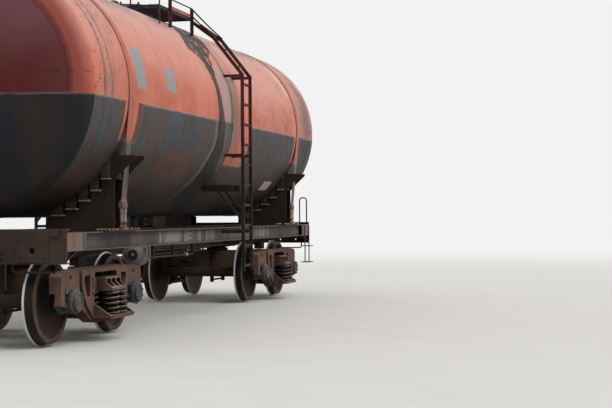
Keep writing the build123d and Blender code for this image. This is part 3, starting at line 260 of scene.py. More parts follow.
# Noises cut between two levels. Columns: stretch along, across and up, scale, detail, roughness, levels.
patterns = {
    "clouds": (0.7, 1.0, 1.0, 1.1, 5.0, 0.6, 0.36, 0.62),
    "freckles": (1.0, 1.0, 1.0, 17.0, 3.0, 0.6, 0.63, 0.7),
    "crownDirt": (1.2, 4.0, 4.0, 1.0, 5.0, 0.68, 0.42, 0.56),
    "scratches": (3.0, 3.0, 26.0, 1.6, 5.0, 0.7, 0.6, 0.68),
    "chips": (1.0, 1.0, 1.0, 9.0, 4.0, 0.65, 0.53, 0.58),
    "tan": (1.0, 1.0, 1.0, 12.0, 5.0, 0.7, 0.44, 0.6),
    "flecks": (1.0, 1.0, 0.6, 15.0, 4.0, 0.65, 0.6, 0.66),
    "panel": (1.6, 1.6, 0.7, 1.5, 5.0, 0.6, 0.42, 0.58),
    "brownRun": (4.0, 4.0, 0.8, 1.0, 5.0, 0.65, 0.48, 0.62),
    "black": (1.6, 1.6, 0.5, 1.7, 5.0, 0.6, 0.42, 0.6),
    "grime": (1.0, 1.0, 1.0, 2.4, 5.0, 0.65, 0.42, 0.56),
    "worn": (6.0, 3.0, 0.8, 1.5, 5.0, 0.65, 0.3, 0.6),
    "holes": (1.0, 1.0, 1.0, 6.5, 4.0, 0.6, 0.57, 0.61),
    "cracks": (1.0, 1.0, 1.0, 13.0, 4.0, 0.7, 0.58, 0.64),
    "wheel": (1.0, 1.0, 1.0, 7.0, 5.0, 0.6, 0.35, 0.65),
    "timberGrey": (1.0, 1.0, 1.0, 4.0, 4.0, 0.6, 0.4, 0.62),
    "tones": (1.0, 1.0, 1.0, 2.3, 4.0, 0.6, 0.35, 0.65),
    "twoTones": (1.0, 1.0, 1.0, 2.6, 4.0, 0.6, 0.35, 0.65),
    "sill": (1.0, 1.0, 0.6, 2.2, 4.0, 0.6, 0.35, 0.65),
    "rubbed": (5.0, 1.0, 0.35, 1.0, 3.0, 0.5, 0.38, 0.56),
    "deck": (1.0, 1.0, 1.0, 3.0, 4.0, 0.6, 0.35, 0.65),
    "boards": (1.0, 1.0, 1.0, 5.0, 5.0, 0.6, 0.36, 0.52),
    "floor": (1.0, 1.0, 1.0, 1.5, 4.0, 0.5, 0.3, 0.7),
}
# Noises that shift an edge to either side. Columns: stretch upwards, size, scale, detail, roughness.
shifts = {
    "ragged": (1.0, 0.3, 3.0, 6.0, 0.65), "fine": (1.0, 0.04, 20.0, 4.0, 0.6),
    "height": (1.0, 0.02, 5.0, 4.0, 0.6), "spill": (0.6, 0.12, 6.0, 6.0, 0.7),
    "splash": (1.0, 0.34, 11.0, 5.0, 0.7), "twoTones": (1.0, 0.12, 6.0, 5.0, 0.6),
}


def pattern(where, name):
    along, across, up, scale, detail, roughness, low, high = patterns[name]
    return fade(noise(stretched(where, along, across, up), scale, detail, roughness), low, high)


# At most half of the size each way.
def unevenness(where, name):
    up, size, scale, detail, roughness = shifts[name]
    value = noise(stretched(where, 1.0, 1.0, up), scale, detail, roughness)
    return maths("MULTIPLY_ADD", value, size, -size / 2)


def lengthOf(vector):
    return addNode(treeOf(vector), "VectorMath", {0: vector}, operation="LENGTH").outputs["Value"]


def maskOf(tree, group, **values):
    return useGroup(tree, group, **values)["Mask"]


def laid(under, mask, share, over):
    return mixColour(maths("MULTIPLY", mask, share), under, over)


# Layers over a colour. Each is a mask, its strength and a colour: a name in the look, or a socket.
def painted(colour, look, layers):
    for mask, share, over in layers:
        colour = laid(colour, mask, share, look[over] if isinstance(over, str) else over)
    return colour


# Effects that several finishes share

# Blotches: two noises of different size, cut at a level so that Amount of the surface is covered.
def makeBlotches():
    inputs = {"Scale": 3.0, "Amount": 0.3, "Softness": 0.06}
    group, given, result = newGroup("blotches", inputs, ["Mask", "Tone"])
    where = position(group)
    large = noise(where, given["Scale"], 6.0, 0.62)
    small = noise(where, maths("MULTIPLY", given["Scale"], 4.3), 5.0, 0.6)
    both = maths("MULTIPLY_ADD", small, 0.35, maths("MULTIPLY", large, 0.65))
    level = maths("MULTIPLY_ADD", given["Amount"], -0.36, 0.68)
    low = maths("SUBTRACT", level, given["Softness"])
    high = maths("ADD", level, given["Softness"])
    group.links.new(fade(both, low, high), result["Mask"])
    group.links.new(small, result["Tone"])
    return group


# Streaks: a noise drawn out downwards, as rain leaves on a wall.
def makeStreaks():
    group, given, result = newGroup("rainStreaks", {"Across": 9.0, "Down": 0.5, "Amount": 0.4}, ["Mask"])
    parts = {0: given["Across"], 1: given["Across"], 2: given["Down"]}
    scale = addNode(group, "CombineXYZ", parts).outputs[0]
    drawn = addNode(group, "VectorMath", {0: position(group), 1: scale}, operation="MULTIPLY").outputs[0]
    value = noise(drawn, 1.0, 5.0, 0.6)
    level = maths("MULTIPLY_ADD", given["Amount"], -0.32, 0.66)
    group.links.new(fade(value, level, maths("ADD", level, 0.14)), result["Mask"])
    return group


# Dust: lies where the surface faces up, broken by a noise, with a thin film everywhere.
def makeDust():
    group, given, result = newGroup("settledDust", {"Amount": 0.5, "Film": 0.15, "Scale": 6.0}, ["Mask"])
    lying = fade(facingUp(group), 0.15, 0.9)
    patchy = fade(noise(position(group), given["Scale"], 5.0, 0.6), 0.3, 0.62)
    settled = maths("MULTIPLY", maths("MULTIPLY", lying, given["Amount"]), patchy)
    film = maths("MULTIPLY", given["Film"], patchy)
    group.links.new(maths("MAXIMUM", settled, film), result["Mask"])
    return group


# Edge wear: where a rounded normal leaves the true one, the spot lies on an edge.
def makeEdgeWear():
    group, given, result = newGroup("edgeWear", {"Width": 0.008, "Amount": 0.6, "Scale": 14.0}, ["Mask"])
    rounded = addNode(group, "Bevel", {"Radius": given["Width"]}, samples=4).outputs[0]
    normal = addNode(group, "NewGeometry").outputs["Normal"]
    pair = {0: rounded, 1: normal}
    agreement = addNode(group, "VectorMath", pair, operation="DOT_PRODUCT").outputs["Value"]
    edge = fade(maths("SUBTRACT", 1.0, agreement), 0.01, 0.16)
    broken = fade(noise(position(group), given["Scale"], 5.0, 0.65), 0.36, 0.56)
    worn = maths("MULTIPLY", maths("MULTIPLY", edge, broken), given["Amount"])
    group.links.new(worn, result["Mask"])
    return group


# Grain: the height of a rough surface, a fine noise on a coarser one.
def makeGrain():
    group, given, result = newGroup("surfaceGrain", {"Scale": 60.0, "Coarse": 0.4}, ["Height"])
    where = position(group)
    fine = noise(where, given["Scale"], 6.0, 0.6)
    coarse = noise(where, maths("MULTIPLY", given["Scale"], 0.16), 3.0, 0.5)
    height = maths("MULTIPLY_ADD", coarse, given["Coarse"], maths("MULTIPLY", fine, 0.5))
    group.links.new(height, result["Height"])
    return group


# Recess shade: painted shade, a dark colour where little open air is near, told by ambient occlusion.
def makeRecess():
    group, given, result = newGroup("recessShade", {"Reach": 0.3, "Amount": 0.8}, ["Mask"])
    openAir = addNode(group, "AmbientOcclusion", {"Distance": given["Reach"]}, samples=5).outputs["AO"]
    closed = fade(openAir, 0.82, 0.22)
    group.links.new(maths("MULTIPLY", closed, given["Amount"]), result["Mask"])
    return group


blotches = makeBlotches()
rainStreaks = makeStreaks()
settledDust = makeDust()
edgeWear = makeEdgeWear()
recessShade = makeRecess()
surfaceGrain = makeGrain()


# Finishes

# Old paint and dusty iron mirror little of a white studio.
specularLevel = 0.22


def startFinish(name):
    material = bpy.data.materials.new(name)
    material.use_nodes = True
    tree = material.node_tree
    shader = tree.nodes["Principled BSDF"]
    shader.inputs["Specular IOR Level"].default_value = specularLevel
    return material, tree, shader


# Colour, roughness and grain are joined to the shader, with the grain as bump.
def closeFinish(tree, shader, colour, roughness, look):
    height = useGroup(tree, surfaceGrain, Scale=look["grain"], Coarse=look["coarse"])["Height"]
    bump = addNode(tree, "Bump", {"Strength": 0.6, "Distance": look["depth"], "Height": height})
    tree.links.new(bump.outputs[0], shader.inputs["Normal"])
    tree.links.new(colour, shader.inputs["Base Color"])
    tree.links.new(roughness, shader.inputs["Roughness"])


# The layers that lie on any weathered metal: rust, streaks, worn edges, dust, and painted shade in its
# recesses.
def weathered(tree, base, look):
    rust = useGroup(tree, blotches, Scale=look["rustScale"], Amount=look["rust"], Softness=0.05)
    rustTone = mixColour(fade(rust["Tone"], 0.35, 0.65), look["rustDark"], look["rustLight"])
    streaks = maskOf(tree, rainStreaks, Across=look["streakAcross"], Down=0.7, Amount=look["streaks"])
    worn = maskOf(tree, edgeWear, Width=look["edgeWidth"], Amount=look["wear"], Scale=16.0)
    dust = maskOf(tree, settledDust, Amount=look["dust"], Film=look["film"], Scale=5.0)
    # Painted shade: a dark colour in the recesses.
    closed = maskOf(tree, recessShade, Reach=look["reach"], Amount=look["recess"])
    colour = laid(mixColour(rust["Mask"], base, rustTone), streaks, 0.6, look["streakColour"])
    for mask, name in ((worn, "wearColour"), (dust, "dustColour"), (closed, "recessColour")):
        colour = mixColour(mask, colour, look[name])
    roughness = maths("MULTIPLY_ADD", rust["Mask"], 0.2, look["roughness"])
    roughness = maths("MULTIPLY_ADD", dust, 0.25, roughness, clamp=True)
    return colour, roughness


# The share, scale and strength of each layer, with its colour.
weatheredLook = {
    "rust": 0.3, "rustScale": 4.0, "rustDark": "4a2c1e", "rustLight": "7d4a2e", "streaks": 0.3,
    "streakAcross": 9.0, "streakColour": "231e1b", "edgeWidth": 0.008, "wear": 0.5, "wearColour": "7d6c5f",
    "dust": 0.5, "film": 0.05, "dustColour": "7f6d5e", "roughness": 0.62, "reach": 0.25, "recess": 0.9,
    "recessColour": "0e0c0b", "grain": 90.0, "depth": 0.0012, "coarse": 0.4,
}


# A weathered finish. What lies under its layers is worked out by a function of the node tree.
def weatheredFinish(name, base, **changes):
    look = {**weatheredLook, **changes}
    material, tree, shader = startFinish(name)
    colour, roughness = weathered(tree, base(tree), look)
    closeFinish(tree, shader, colour, roughness, look)
    return material


# Two tones of one colour under the layers.
def plainFinish(name, colour, second, **changes):
    def base(tree):
        return mixColour(pattern(position(tree), "tones"), colour, second)
    return weatheredFinish(name, base, **changes)


# Tank: salmon enamel over dark lower panels, a spill from the hatch, patches of primer, darker towards the
# bottom, and painted shade on the heads, along the strips and beside the straps.
tankLook = {
    "orange": "df7b60", "pink": "dc9482", "greyPink": "cda398", "brick": "c66a52", "plum": "70404a",
    "maroon": "5c2627", "deepRed": "541110", "rimShade": "95463e", "black": "17191d", "blackBlue": "121921",
    "blackBrown": "2a211d", "panel": "4a5055", "panelBrown": "594a41", "panelDark": "353332",
    "panelEdge": "8b7365", "stripShade": "66241a", "spill": "544a43", "spillDark": "2a2421",
    "washAbove": "b9a098", "washBelow": "736b67", "washGrey": "8d7f78", "primer": "939da0", "label": "e0d9ce",
    "lowDark": "42362f", "nearBlack": "110e0d", "rust": "7d4631", "ring": "84736b", "chip": "382422",
    "strapShade": "1b1514", "tan": "9c7a6c", "topLine": "9a8981", "brown": "5b3f2e", "white": "e4e0dd",
    "violet": "756668", "crownDirt": "6a5a54", "panelTop": 2.783, "headSeam": 5.0, "crownEdge": 1.235,
    "ringSeams": (-0.51, 0.03), "weldRings": (4.7, 4.5), "strapEdges": (-4.002, 3.838), "shadedWidth": 0.15,
    "paintEdge": 0.004, "grain": 26.0, "depth": 0.0016, "coarse": 0.9,
}
# Where a colour sets in and where it is full: a height, or a place along or across where its name says so.
onset = {
    "pink": (2.95, 3.5), "greyPink": (3.55, 4.15), "chalkAlong": (0.3, 1.6), "crownDirt": (3.9, 4.2),
    "plum": (3.1, 3.75), "deepRed": (3.35, 2.95), "deepRedAcross": (1.15, 0.75), "scratchesAlong": (4.3, 4.8),
    "lowDark": (2.36, 1.98), "nearBlack": (1.98, 1.6), "strapShade": (3.2, 2.7), "splash": (3.15, 3.6),
    "spillBlack": (2.75, 1.75), "wash": (1.9, 2.3), "grey": (2.15, 2.3), "second": (1.8, 2.2),
    "paleRun": (1.6, 2.1), "washTop": (3.7, 3.5), "greyTop": (3.75, 3.4), "secondTop": (4.3, 4.1),
    "solidRing": (3.3, 2.95),
}
# Where a colour's zone begins and ends, likewise.
zone = {
    "scratches": (2.83, 3.06), "chipsAlong": (4.58, 5.02), "chips": (2.84, 3.07),
    "scrapeAcross": (-1.27, -0.88), "scrape": (2.995, 3.04), "tanAlong": (4.08, 4.72),
    "flecksAlong": (4.1, 4.98), "flecks": (2.9, 4.3), "brown": (1.75, 2.5), "rustAlong": (-2.35, -1.25),
    "rust": (1.98, 2.28), "grimeAlong": (4.2, 4.95), "grime": (2.82, 3.9), "holes": (3.2, 4.2),
}
# Salmon strips on the lower panels. Columns: first and last place along, lowest point.
paintStrips = ((-4.085, -3.52, 2.325), (3.74, 4.2, 2.33), (0.16, 1.08, 2.18))
# Patches of primer on the left side. Columns: first and last place along, lowest and highest point.
primerPatches = ((-3.72, -3.39, 2.96, 3.47), (-2.64, -2.3, 3.01, 3.34))
# A blank label on the left side: first and last place along, lowest and highest point.
labelPlate = (2.88, 3.34, 1.865, 2.005)
# Pale streaks on the left side. Columns: lowest and highest point, place along at each, half width.
paleStreaks = ((3.47, 3.92, 3.71, 3.56, 0.045), (3.5, 3.93, 1.69, 1.56, 0.04))
# Edges of the spill down the side, of the thin run and of the washed band. Columns: height, place along.
spillLeft = (
    (1.4, -0.7), (1.78, -0.7), (2.01, -0.62), (2.23, -0.56), (2.45, -0.47), (2.79, -0.54), (3.04, -0.55),
    (3.22, -0.57), (3.41, -0.61), (3.57, -0.68), (3.67, -0.8), (3.74, -1.08), (3.84, -1.01), (4.04, -0.72),
    (4.36, -0.6),
)
spillRight = (
    (1.4, 0.85), (1.76, 0.2), (2.01, 0.03), (2.23, -0.09), (2.46, -0.14), (2.75, -0.25), (2.98, -0.35),
    (3.34, -0.4), (3.57, -0.33), (3.71, -0.22), (3.81, 0.05), (4.04, 0.36), (4.36, 0.6),
)
secondLine = (
    (1.4, 0.12), (2.23, 0.14), (2.5, 0.17), (2.83, 0.08), (3.17, 0.12), (3.36, 0.16), (3.48, 0.07),
    (3.63, 0.08), (3.81, 0.12), (4.36, 0.4),
)
washRight = (
    (1.4, 0.8), (2.0, 0.22), (2.2, 0.2), (2.35, 0.33), (2.53, 0.47), (2.85, 0.41), (3.02, 0.41), (3.31, 0.47),
    (3.56, 0.6), (4.36, 0.8),
)


# What the tank's layers share: places in metres, noises that make edges uneven, and the lower panels' mask.
def tankPlaces(tree, look):
    along, across, up = placeParts(tree)
    where = position(tree)
    ragged = unevenness(where, "ragged")
    fine = unevenness(where, "fine")
    height = maths("ADD", up, unevenness(where, "height"))
    reach = maths("ABSOLUTE", along)
    edge, seam, top = look["paintEdge"], look["headSeam"], look["panelTop"]
    strips = largest(*[
        product(band(along, first, last, edge), fade(height, bottom - edge, bottom + edge))
        for first, last, bottom in paintStrips
    ])
    below = fade(height, top + edge, top - edge)
    fromAxis = addNode(tree, "CombineXYZ", {1: across, 2: maths("SUBTRACT", up, tankAxis)}).outputs[0]
    return SimpleNamespace(
        tree=tree, where=where, along=along, across=across, up=up, height=height, reach=reach, ragged=ragged,
        edgeAlong=maths("ADD", along, fine),
        edgeUp=maths("ADD", up, fine),
        raised=maths("MULTIPLY_ADD", ragged, 1.6, up),
        raggedUp=maths("MULTIPLY_ADD", ragged, 0.9, up),
        radius=lengthOf(fromAxis),
        left=fade(across, 0.02, -0.02),
        onHead=fade(reach, seam - 0.008, seam + 0.008),
        mottle=noise(where, 7.0, 5.0, 0.65),
        clouds=pattern(where, "clouds"),
        strips=strips,
        below=below,
        panel=product(below, opposite(strips)),
    )


# Over the orange: pink above, chalky grey pink towards the top, streaks, freckles and dirt on the crown.
def salmonLayers(at):
    chalky = product(fade(at.along, *onset["chalkAlong"]), fade(at.mottle, 0.4, 0.6))
    return [
        (fade(at.raised, *onset["pink"]), 0.85, "pink"),
        (fade(at.raised, *onset["greyPink"]), 0.75, "greyPink"),
        (chalky, 0.4, "greyPink"),
        (maskOf(at.tree, rainStreaks, Across=5.0, Down=0.8, Amount=0.45), 0.16, "maroon"),
        (pattern(at.where, "freckles"), 0.3, "brick"),
        (product(fade(at.up, *onset["crownDirt"]), pattern(at.where, "crownDirt")), 0.75, "crownDirt"),
    ]


# Heads: painted shade at the rim, a crown of painted shade in maroon and deep red with a dark painted line
# round it, and chips beside it.
def headLayers(at, look):
    crownEdge, seam = look["crownEdge"], look["headSeam"]
    edge = maths("MULTIPLY_ADD", at.ragged, 0.16, at.radius)
    nearHead = fade(at.reach, seam - 0.03, seam + 0.09)
    low = product(fade(at.up, *onset["deepRed"]), fade(maths("ABSOLUTE", at.across), *onset["deepRedAcross"]))
    crown = mixColour(fade(at.raised, *onset["plum"]), look["maroon"], look["plum"])
    onCrown = product(at.onHead, fade(edge, crownEdge + 0.02, crownEdge - 0.02))
    lowRim = product(fade(at.reach, *onset["scratchesAlong"]), band(at.up, *zone["scratches"], 0.04))
    chips = product(band(at.reach, *zone["chipsAlong"], 0.06), band(at.up, *zone["chips"], 0.05))
    scrape = product(band(at.across, *zone["scrapeAcross"], 0.07), band(at.edgeUp, *zone["scrape"], 0.016))
    flecked = product(band(at.reach, *zone["flecksAlong"], 0.1), band(at.up, *zone["flecks"], 0.15))
    return [
        # Painted shade: the rim, the crown in maroon and deep red, and the dark line at the crown's edge.
        (product(nearHead, fade(edge, crownEdge + 0.36, crownEdge + 0.07)), 0.95, "rimShade"),
        (onCrown, 0.97, laid(crown, low, 0.9, look["deepRed"])),
        (product(at.onHead, lineAt(edge, crownEdge, 0.05)), 0.5, "deepRed"),
        (product(lowRim, pattern(at.where, "scratches")), 0.7, "chip"),
        (product(chips, pattern(at.where, "chips")), 0.75, "chip"),
        (product(at.onHead, scrape, fade(at.mottle, 0.36, 0.5)), 0.6, "chip"),
        (product(band(at.reach, *zone["tanAlong"], 0.05), pattern(at.where, "tan")), 0.6, "tan"),
        (product(flecked, pattern(at.where, "flecks")), 0.55, "brown"),
    ]


# Lower panels: slate and brown, washed dark, darker further down, and black on the heads.
def panelColour(at, look):
    slate = mixColour(pattern(at.where, "panel"), look["panel"], look["panelBrown"])
    onShell = painted(slate, look, [
        (maskOf(at.tree, rainStreaks, Across=14.0, Down=0.6, Amount=0.55), 0.45, "panelDark"),
        (fade(at.raggedUp, *onset["lowDark"]), 0.9, "lowDark"),
        (fade(at.raggedUp, *onset["nearBlack"]), 0.93, "nearBlack"),
        (product(pattern(at.where, "brownRun"), band(at.up, *zone["brown"], 0.2)), 0.45, "brown"),
    ])
    black = mixColour(pattern(at.where, "black"), look["blackBlue"], look["blackBrown"])
    onHeads = laid(black, at.mottle, 0.5, look["black"])
    return mixColour(at.onHead, onShell, onHeads)


# Painted shade at the strips' edges, a painted shadow line beside each strap, wider lower down, and the
# panels' pale edges.
def stripLayers(at, look):
    width = look["shadedWidth"]
    shaded = largest(*[band(at.along, last - width, last, 0.016) for _, last, _ in paintStrips[:2]])
    # Painted shade along the strips' edges.
    layers = [(product(shaded, at.strips, at.below), 0.95, "stripShade")]
    # A painted shadow line beside each strap, in the gap where the strap leaves the tank.
    drawn = maths("MULTIPLY_ADD", fade(at.up, 2.9, 1.9), 0.014, 0.006)
    for strap in look["strapEdges"]:
        offset = maths("ABSOLUTE", maths("SUBTRACT", at.edgeAlong, strap))
        beside = fade(maths("SUBTRACT", offset, drawn), 0.008, -0.004)
        layers.append((product(beside, fade(at.up, *onset["strapShade"])), 0.85, "strapShade"))
    endLines = largest(*[
        product(band(at.along, first, last, 0.004), band(at.height, bottom - 0.014, bottom + 0.004, 0.003))
        for first, last, bottom in paintStrips
    ])
    topLine = band(at.height, look["panelTop"] - 0.016, look["panelTop"] + 0.01, 0.006)
    fainter = maths("MULTIPLY_ADD", at.onHead, -0.65, 1.0)
    topLine = product(topLine, opposite(at.strips), fainter, fade(at.mottle, 0.3, 0.48))
    layers.append((product(endLines, fade(at.mottle, 0.36, 0.52)), 0.85, "panelEdge"))
    layers.append((topLine, 0.8, "topLine"))
    return layers


# On the left side primer, rust low down, a blank label and pale streaks. A grimy band at the rear strap.
def patchLayers(at):
    layers = []
    for first, last, bottom, top in primerPatches:
        patch = product(band(at.edgeAlong, first, last, 0.012), fade(at.edgeUp, bottom - 0.01, bottom + 0.01))
        layers.append((product(patch, fade(at.edgeUp, top + 0.012, top - 0.05), at.left), 0.88, "primer"))
    rusty = product(band(at.along, *zone["rustAlong"], 0.25), band(at.raggedUp, *zone["rust"], 0.07), at.left)
    layers.append((product(rusty, fade(at.mottle, 0.36, 0.56)), 0.8, "rust"))
    first, last, bottom, top = labelPlate
    label = product(band(at.edgeAlong, first, last, 0.008), band(at.edgeUp, bottom, top, 0.008), at.left)
    layers.append((product(label, fade(at.mottle, 0.78, 0.5)), 0.95, "label"))
    for bottom, top, atBottom, atTop, halfWidth in paleStreaks:
        slope = (atTop - atBottom) / (top - bottom)
        middle = maths("MULTIPLY_ADD", at.edgeUp, slope, atBottom - bottom * slope)
        streak = product(lineAt(at.along, middle, halfWidth), band(at.edgeUp, bottom, top, 0.03), at.left)
        layers.append((product(streak, fade(at.mottle, 0.3, 0.45)), 0.95, "white"))
    grimy = product(band(at.along, *zone["grimeAlong"], 0.06), band(at.up, *zone["grime"], 0.1))
    layers.append((product(grimy, pattern(at.where, "grime")), 0.7, "violet"))
    return layers


# The spill: a dark band from the hatch down the side, which splashes out near the top, with washed bands
# and a thin run beside it. Where the dark band lies is kept, because little dust shows on it.
def spillLayers(at, look):
    shifted = maths("ADD", at.along, unevenness(at.where, "spill"))
    tables = (spillLeft, spillRight, secondLine, washRight)
    leftEdge, rightEdge, thinRun, outerEdge = [alongTable(at.up, table) for table in tables]
    onPanel = fade(at.up, look["panelTop"] + 0.02, look["panelTop"] - 0.02)
    worn = pattern(at.where, "worn")
    wash = product(fade(at.up, *onset["washTop"]), fade(at.up, *onset["wash"]))
    wash = product(between(shifted, rightEdge, thinRun, 0.02), wash)
    grey = product(fade(at.up, *onset["greyTop"]), fade(at.up, *onset["grey"]))
    grey = product(between(shifted, thinRun, outerEdge, 0.03), grey)
    splash = product(unevenness(at.where, "splash"), fade(at.up, *onset["splash"]))
    at.spilled = between(maths("ADD", shifted, splash), leftEdge, rightEdge, 0.018)
    holes = product(pattern(at.where, "holes"), band(at.up, *zone["holes"], 0.1))
    rims = largest(lineAt(shifted, leftEdge, 0.05), lineAt(shifted, rightEdge, 0.05))
    spill = painted(mixColour(worn, look["spill"], look["spillDark"]), look, [
        (rims, 0.6, "spillDark"),
        (fade(at.up, *onset["spillBlack"]), 0.92, "nearBlack"),
    ])
    second = product(fade(at.up, *onset["secondTop"]), fade(at.up, *onset["second"]))
    second = product(lineAt(shifted, thinRun, 0.035), second)
    paleRun = lineAt(shifted, maths("SUBTRACT", leftEdge, 0.09), 0.075)
    washShare = maths("MULTIPLY_ADD", worn, 0.35, 0.5)
    return [
        (wash, washShare, mixColour(onPanel, look["washAbove"], look["washBelow"])),
        (grey, maths("MULTIPLY_ADD", worn, 0.5, 0.3), "washGrey"),
        (product(at.spilled, opposite(holes)), 0.95, spill),
        (second, 0.85, "spillDark"),
        (product(paleRun, onPanel, fade(at.up, *onset["paleRun"])), 0.6, "washGrey"),
    ]


# Weld rings of broken grey above the lower panels, and the thin dark ring seams.
def seamLayers(at, look):
    layers = []
    above = opposite(at.below)
    solidLow = maths("MULTIPLY_ADD", fade(at.up, *onset["solidRing"]), 0.12, noise(at.where, 8.0, 5.0, 0.7))
    broken = product(fade(solidLow, 0.44, 0.51), above)
    cracked = product(pattern(at.where, "cracks"), above)
    frayed = maths("MULTIPLY_ADD", at.ragged, 0.1, at.reach)
    for ring in look["weldRings"]:
        layers.append((product(lineAt(frayed, ring, 0.044), broken), 0.85, "ring"))
        layers.append((product(lineAt(at.reach, ring, 0.05), cracked), 0.7, "chip"))
    for ring in look["ringSeams"]:
        layers.append((lineAt(at.along, ring, 0.01), 0.4, "spillDark"))
    return layers


# The layers from the salmon outwards, then dust on what faces up, and painted shade where little open air is
# near.
def makeTankFinish(look):
    material, tree, shader = startFinish("tankEnamel")
    at = tankPlaces(tree, look)
    salmon = mixColour(at.clouds, look["orange"], look["brick"])
    colour = painted(salmon, look, salmonLayers(at) + headLayers(at, look))
    colour = mixColour(at.panel, colour, panelColour(at, look))
    colour = painted(colour, look, stripLayers(at, look) + patchLayers(at))
    colour = painted(colour, look, spillLayers(at, look) + seamLayers(at, look))
    dirt = maskOf(tree, settledDust, Amount=0.35, Film=0.04, Scale=2.0)
    colour = painted(colour, look, [
        (product(dirt, opposite(at.spilled)), 0.45, "washAbove"),
        # Painted shade where little open air is near.
        (maskOf(tree, recessShade, Reach=0.3, Amount=0.8), 1.0, "nearBlack"),
    ])
    roughness = maths("MULTIPLY_ADD", at.clouds, 0.1, 0.46)
    roughness = maths("MULTIPLY_ADD", at.panel, 0.12, roughness)
    roughness = maths("MULTIPLY_ADD", dirt, 0.25, roughness, clamp=True)
    closeFinish(tree, shader, colour, roughness, look)
    return material


# Wheels: brown plate and rim, dark tread, and a flange worn bright, told by the distance from the axle.
wheelLook = {
    "plate": "40312b", "plateBrown": "6b554b", "plateDark": "4a3830", "hub": "1c1715", "tread": "0d0b0a",
    "flange": "d2ccc7", "dust": "7d6a5b", "recess": "0d0b0a", "hubRadius": 0.17, "treadInner": 0.468,
    "flangeInner": 0.49, "grain": 70.0, "depth": 0.001, "coarse": 0.4,
}


def fromAxle(tree):
    along, _, up = placeParts(tree)
    fromPivot = maths("ABSOLUTE", maths("SUBTRACT", maths("ABSOLUTE", along), pivotX[1]))
    parts = {0: maths("SUBTRACT", fromPivot, halfBase), 2: maths("SUBTRACT", up, axleHeight)}
    return lengthOf(addNode(tree, "CombineXYZ", parts).outputs[0])


def makeWheelFinish(look):
    material, tree, shader = startFinish("wheelWorn")
    radius = fromAxle(tree)
    tone = pattern(position(tree), "wheel")
    outward = fade(maths("MULTIPLY_ADD", tone, 0.08, radius), 0.3, 0.46)
    onTread = fade(radius, look["treadInner"] - 0.004, look["treadInner"] + 0.003)
    onFlange = fade(radius, look["flangeInner"] - 0.006, look["flangeInner"] + 0.004)
    plate = mixColour(outward, look["plate"], mixColour(tone, look["plateBrown"], look["plateDark"]))
    colour = painted(plate, look, [
        (fade(radius, look["hubRadius"] + 0.06, look["hubRadius"] - 0.03), 0.7, "hub"),
        (maskOf(tree, settledDust, Amount=0.25, Film=0.05, Scale=8.0), 1.0, "dust"),
        # Painted shade where the wheel is closed in.
        (maskOf(tree, recessShade, Reach=0.3, Amount=0.85), 1.0, "recess"),
        (onTread, 1.0, "tread"),
        (onFlange, 1.0, "flange"),
    ])
    roughness = maths("MULTIPLY_ADD", onTread, -0.3, 0.72)
    tree.links.new(maths("MULTIPLY", onFlange, 0.8), shader.inputs["Metallic"])
    closeFinish(tree, shader, colour, roughness, look)
    return material


# Timber: long grain in two browns, grey where it weathers, with dust, and painted shade where it is closed
# in, which darkens its ends.
timberLook = {"brown": "463a30", "dark": "241d19", "grey": "665b50", "dust": "72665a", "recess": "0c0a09"}


def makeTimberFinish(look):
    material, tree, shader = startFinish("weatheredTimber")
    where = position(tree)
    grain = noise(stretched(where, 3.0, 40.0, 40.0), 1.0, 6.0, 0.65)
    colour = painted(mixColour(fade(grain, 0.35, 0.65), look["brown"], look["dark"]), look, [
        (pattern(where, "timberGrey"), 0.4, "grey"),
        (maskOf(tree, settledDust, Amount=0.4, Film=0.05, Scale=9.0), 1.0, "dust"),
        # Painted shade where the timber is closed in.
        (maskOf(tree, recessShade, Reach=0.3, Amount=0.85), 1.0, "recess"),
    ])
    bump = addNode(tree, "Bump", {"Strength": 0.7, "Distance": 0.002, "Height": grain}).outputs[0]
    tree.links.new(bump, shader.inputs["Normal"])
    tree.links.new(colour, shader.inputs["Base Color"])
    shader.inputs["Roughness"].default_value = 0.82
    return material


# A weathered finish whose colour changes at a height: one pair of tones above it, another below.
def twoToneFinish(name, height, edge, upper, lower, **changes):
    def base(tree):
        tone = pattern(position(tree), "twoTones")
        spot = maths("ADD", placeParts(tree)[2], unevenness(position(tree), "twoTones"))
        above, under = mixColour(tone, *upper), mixColour(tone, *lower)
        return mixColour(fade(spot, height - edge, height + edge), under, above)
    return weatheredFinish(name, base, **changes)


# Sills: dark taupe web, beige boxed ends, whitish rubbed patches drawn downwards, and pale flange edges.
sillLook = {
    "web": "645850", "webDark": "4b413c", "blue": "565a60", "beige": "846c5f", "pale": "9c9a9d",
    "boxedEnd": 4.98,
}
# Columns: first and last place along the left web where the paint is rubbed pale.
rubbedPatches = ((-2.42, -1.07), (-0.80, -0.02), (2.1, 2.9))


def sillBase(tree):
    along, across, up = placeParts(tree)
    reach = maths("ABSOLUTE", along)
    boxedEnd = sillLook["boxedEnd"]
    tone = pattern(position(tree), "sill")
    rubbed = largest(*[band(along, first, last, 0.1) for first, last in rubbedPatches])
    drawn = pattern(position(tree), "rubbed")
    onWeb = product(band(up, sillLow.z + 0.02, sillHigh.z - 0.02, 0.02), fade(across, 0.0, -0.1))
    return painted(mixColour(tone, sillLook["web"], sillLook["webDark"]), sillLook, [
        (band(reach, 4.2, 4.9, 0.25), 0.7, "blue"),
        (fade(reach, boxedEnd - 0.01, boxedEnd + 0.01), 0.9, "beige"),
        (product(rubbed, drawn, onWeb), 0.75, "pale"),
    ])


# Decks: dark blue steel with boards painted salmon, now dirty, on what faces up.
deckLook = {"steel": "1f2030", "steelBrown": "2c2330", "boards": "b55a4a"}


def deckBase(tree):
    where = position(tree)
    tone = pattern(where, "deck")
    boards = product(fade(facingUp(tree), 0.5, 0.8), pattern(where, "boards"))
    return laid(mixColour(tone, deckLook["steel"], deckLook["steelBrown"]), boards, 0.85, deckLook["boards"])


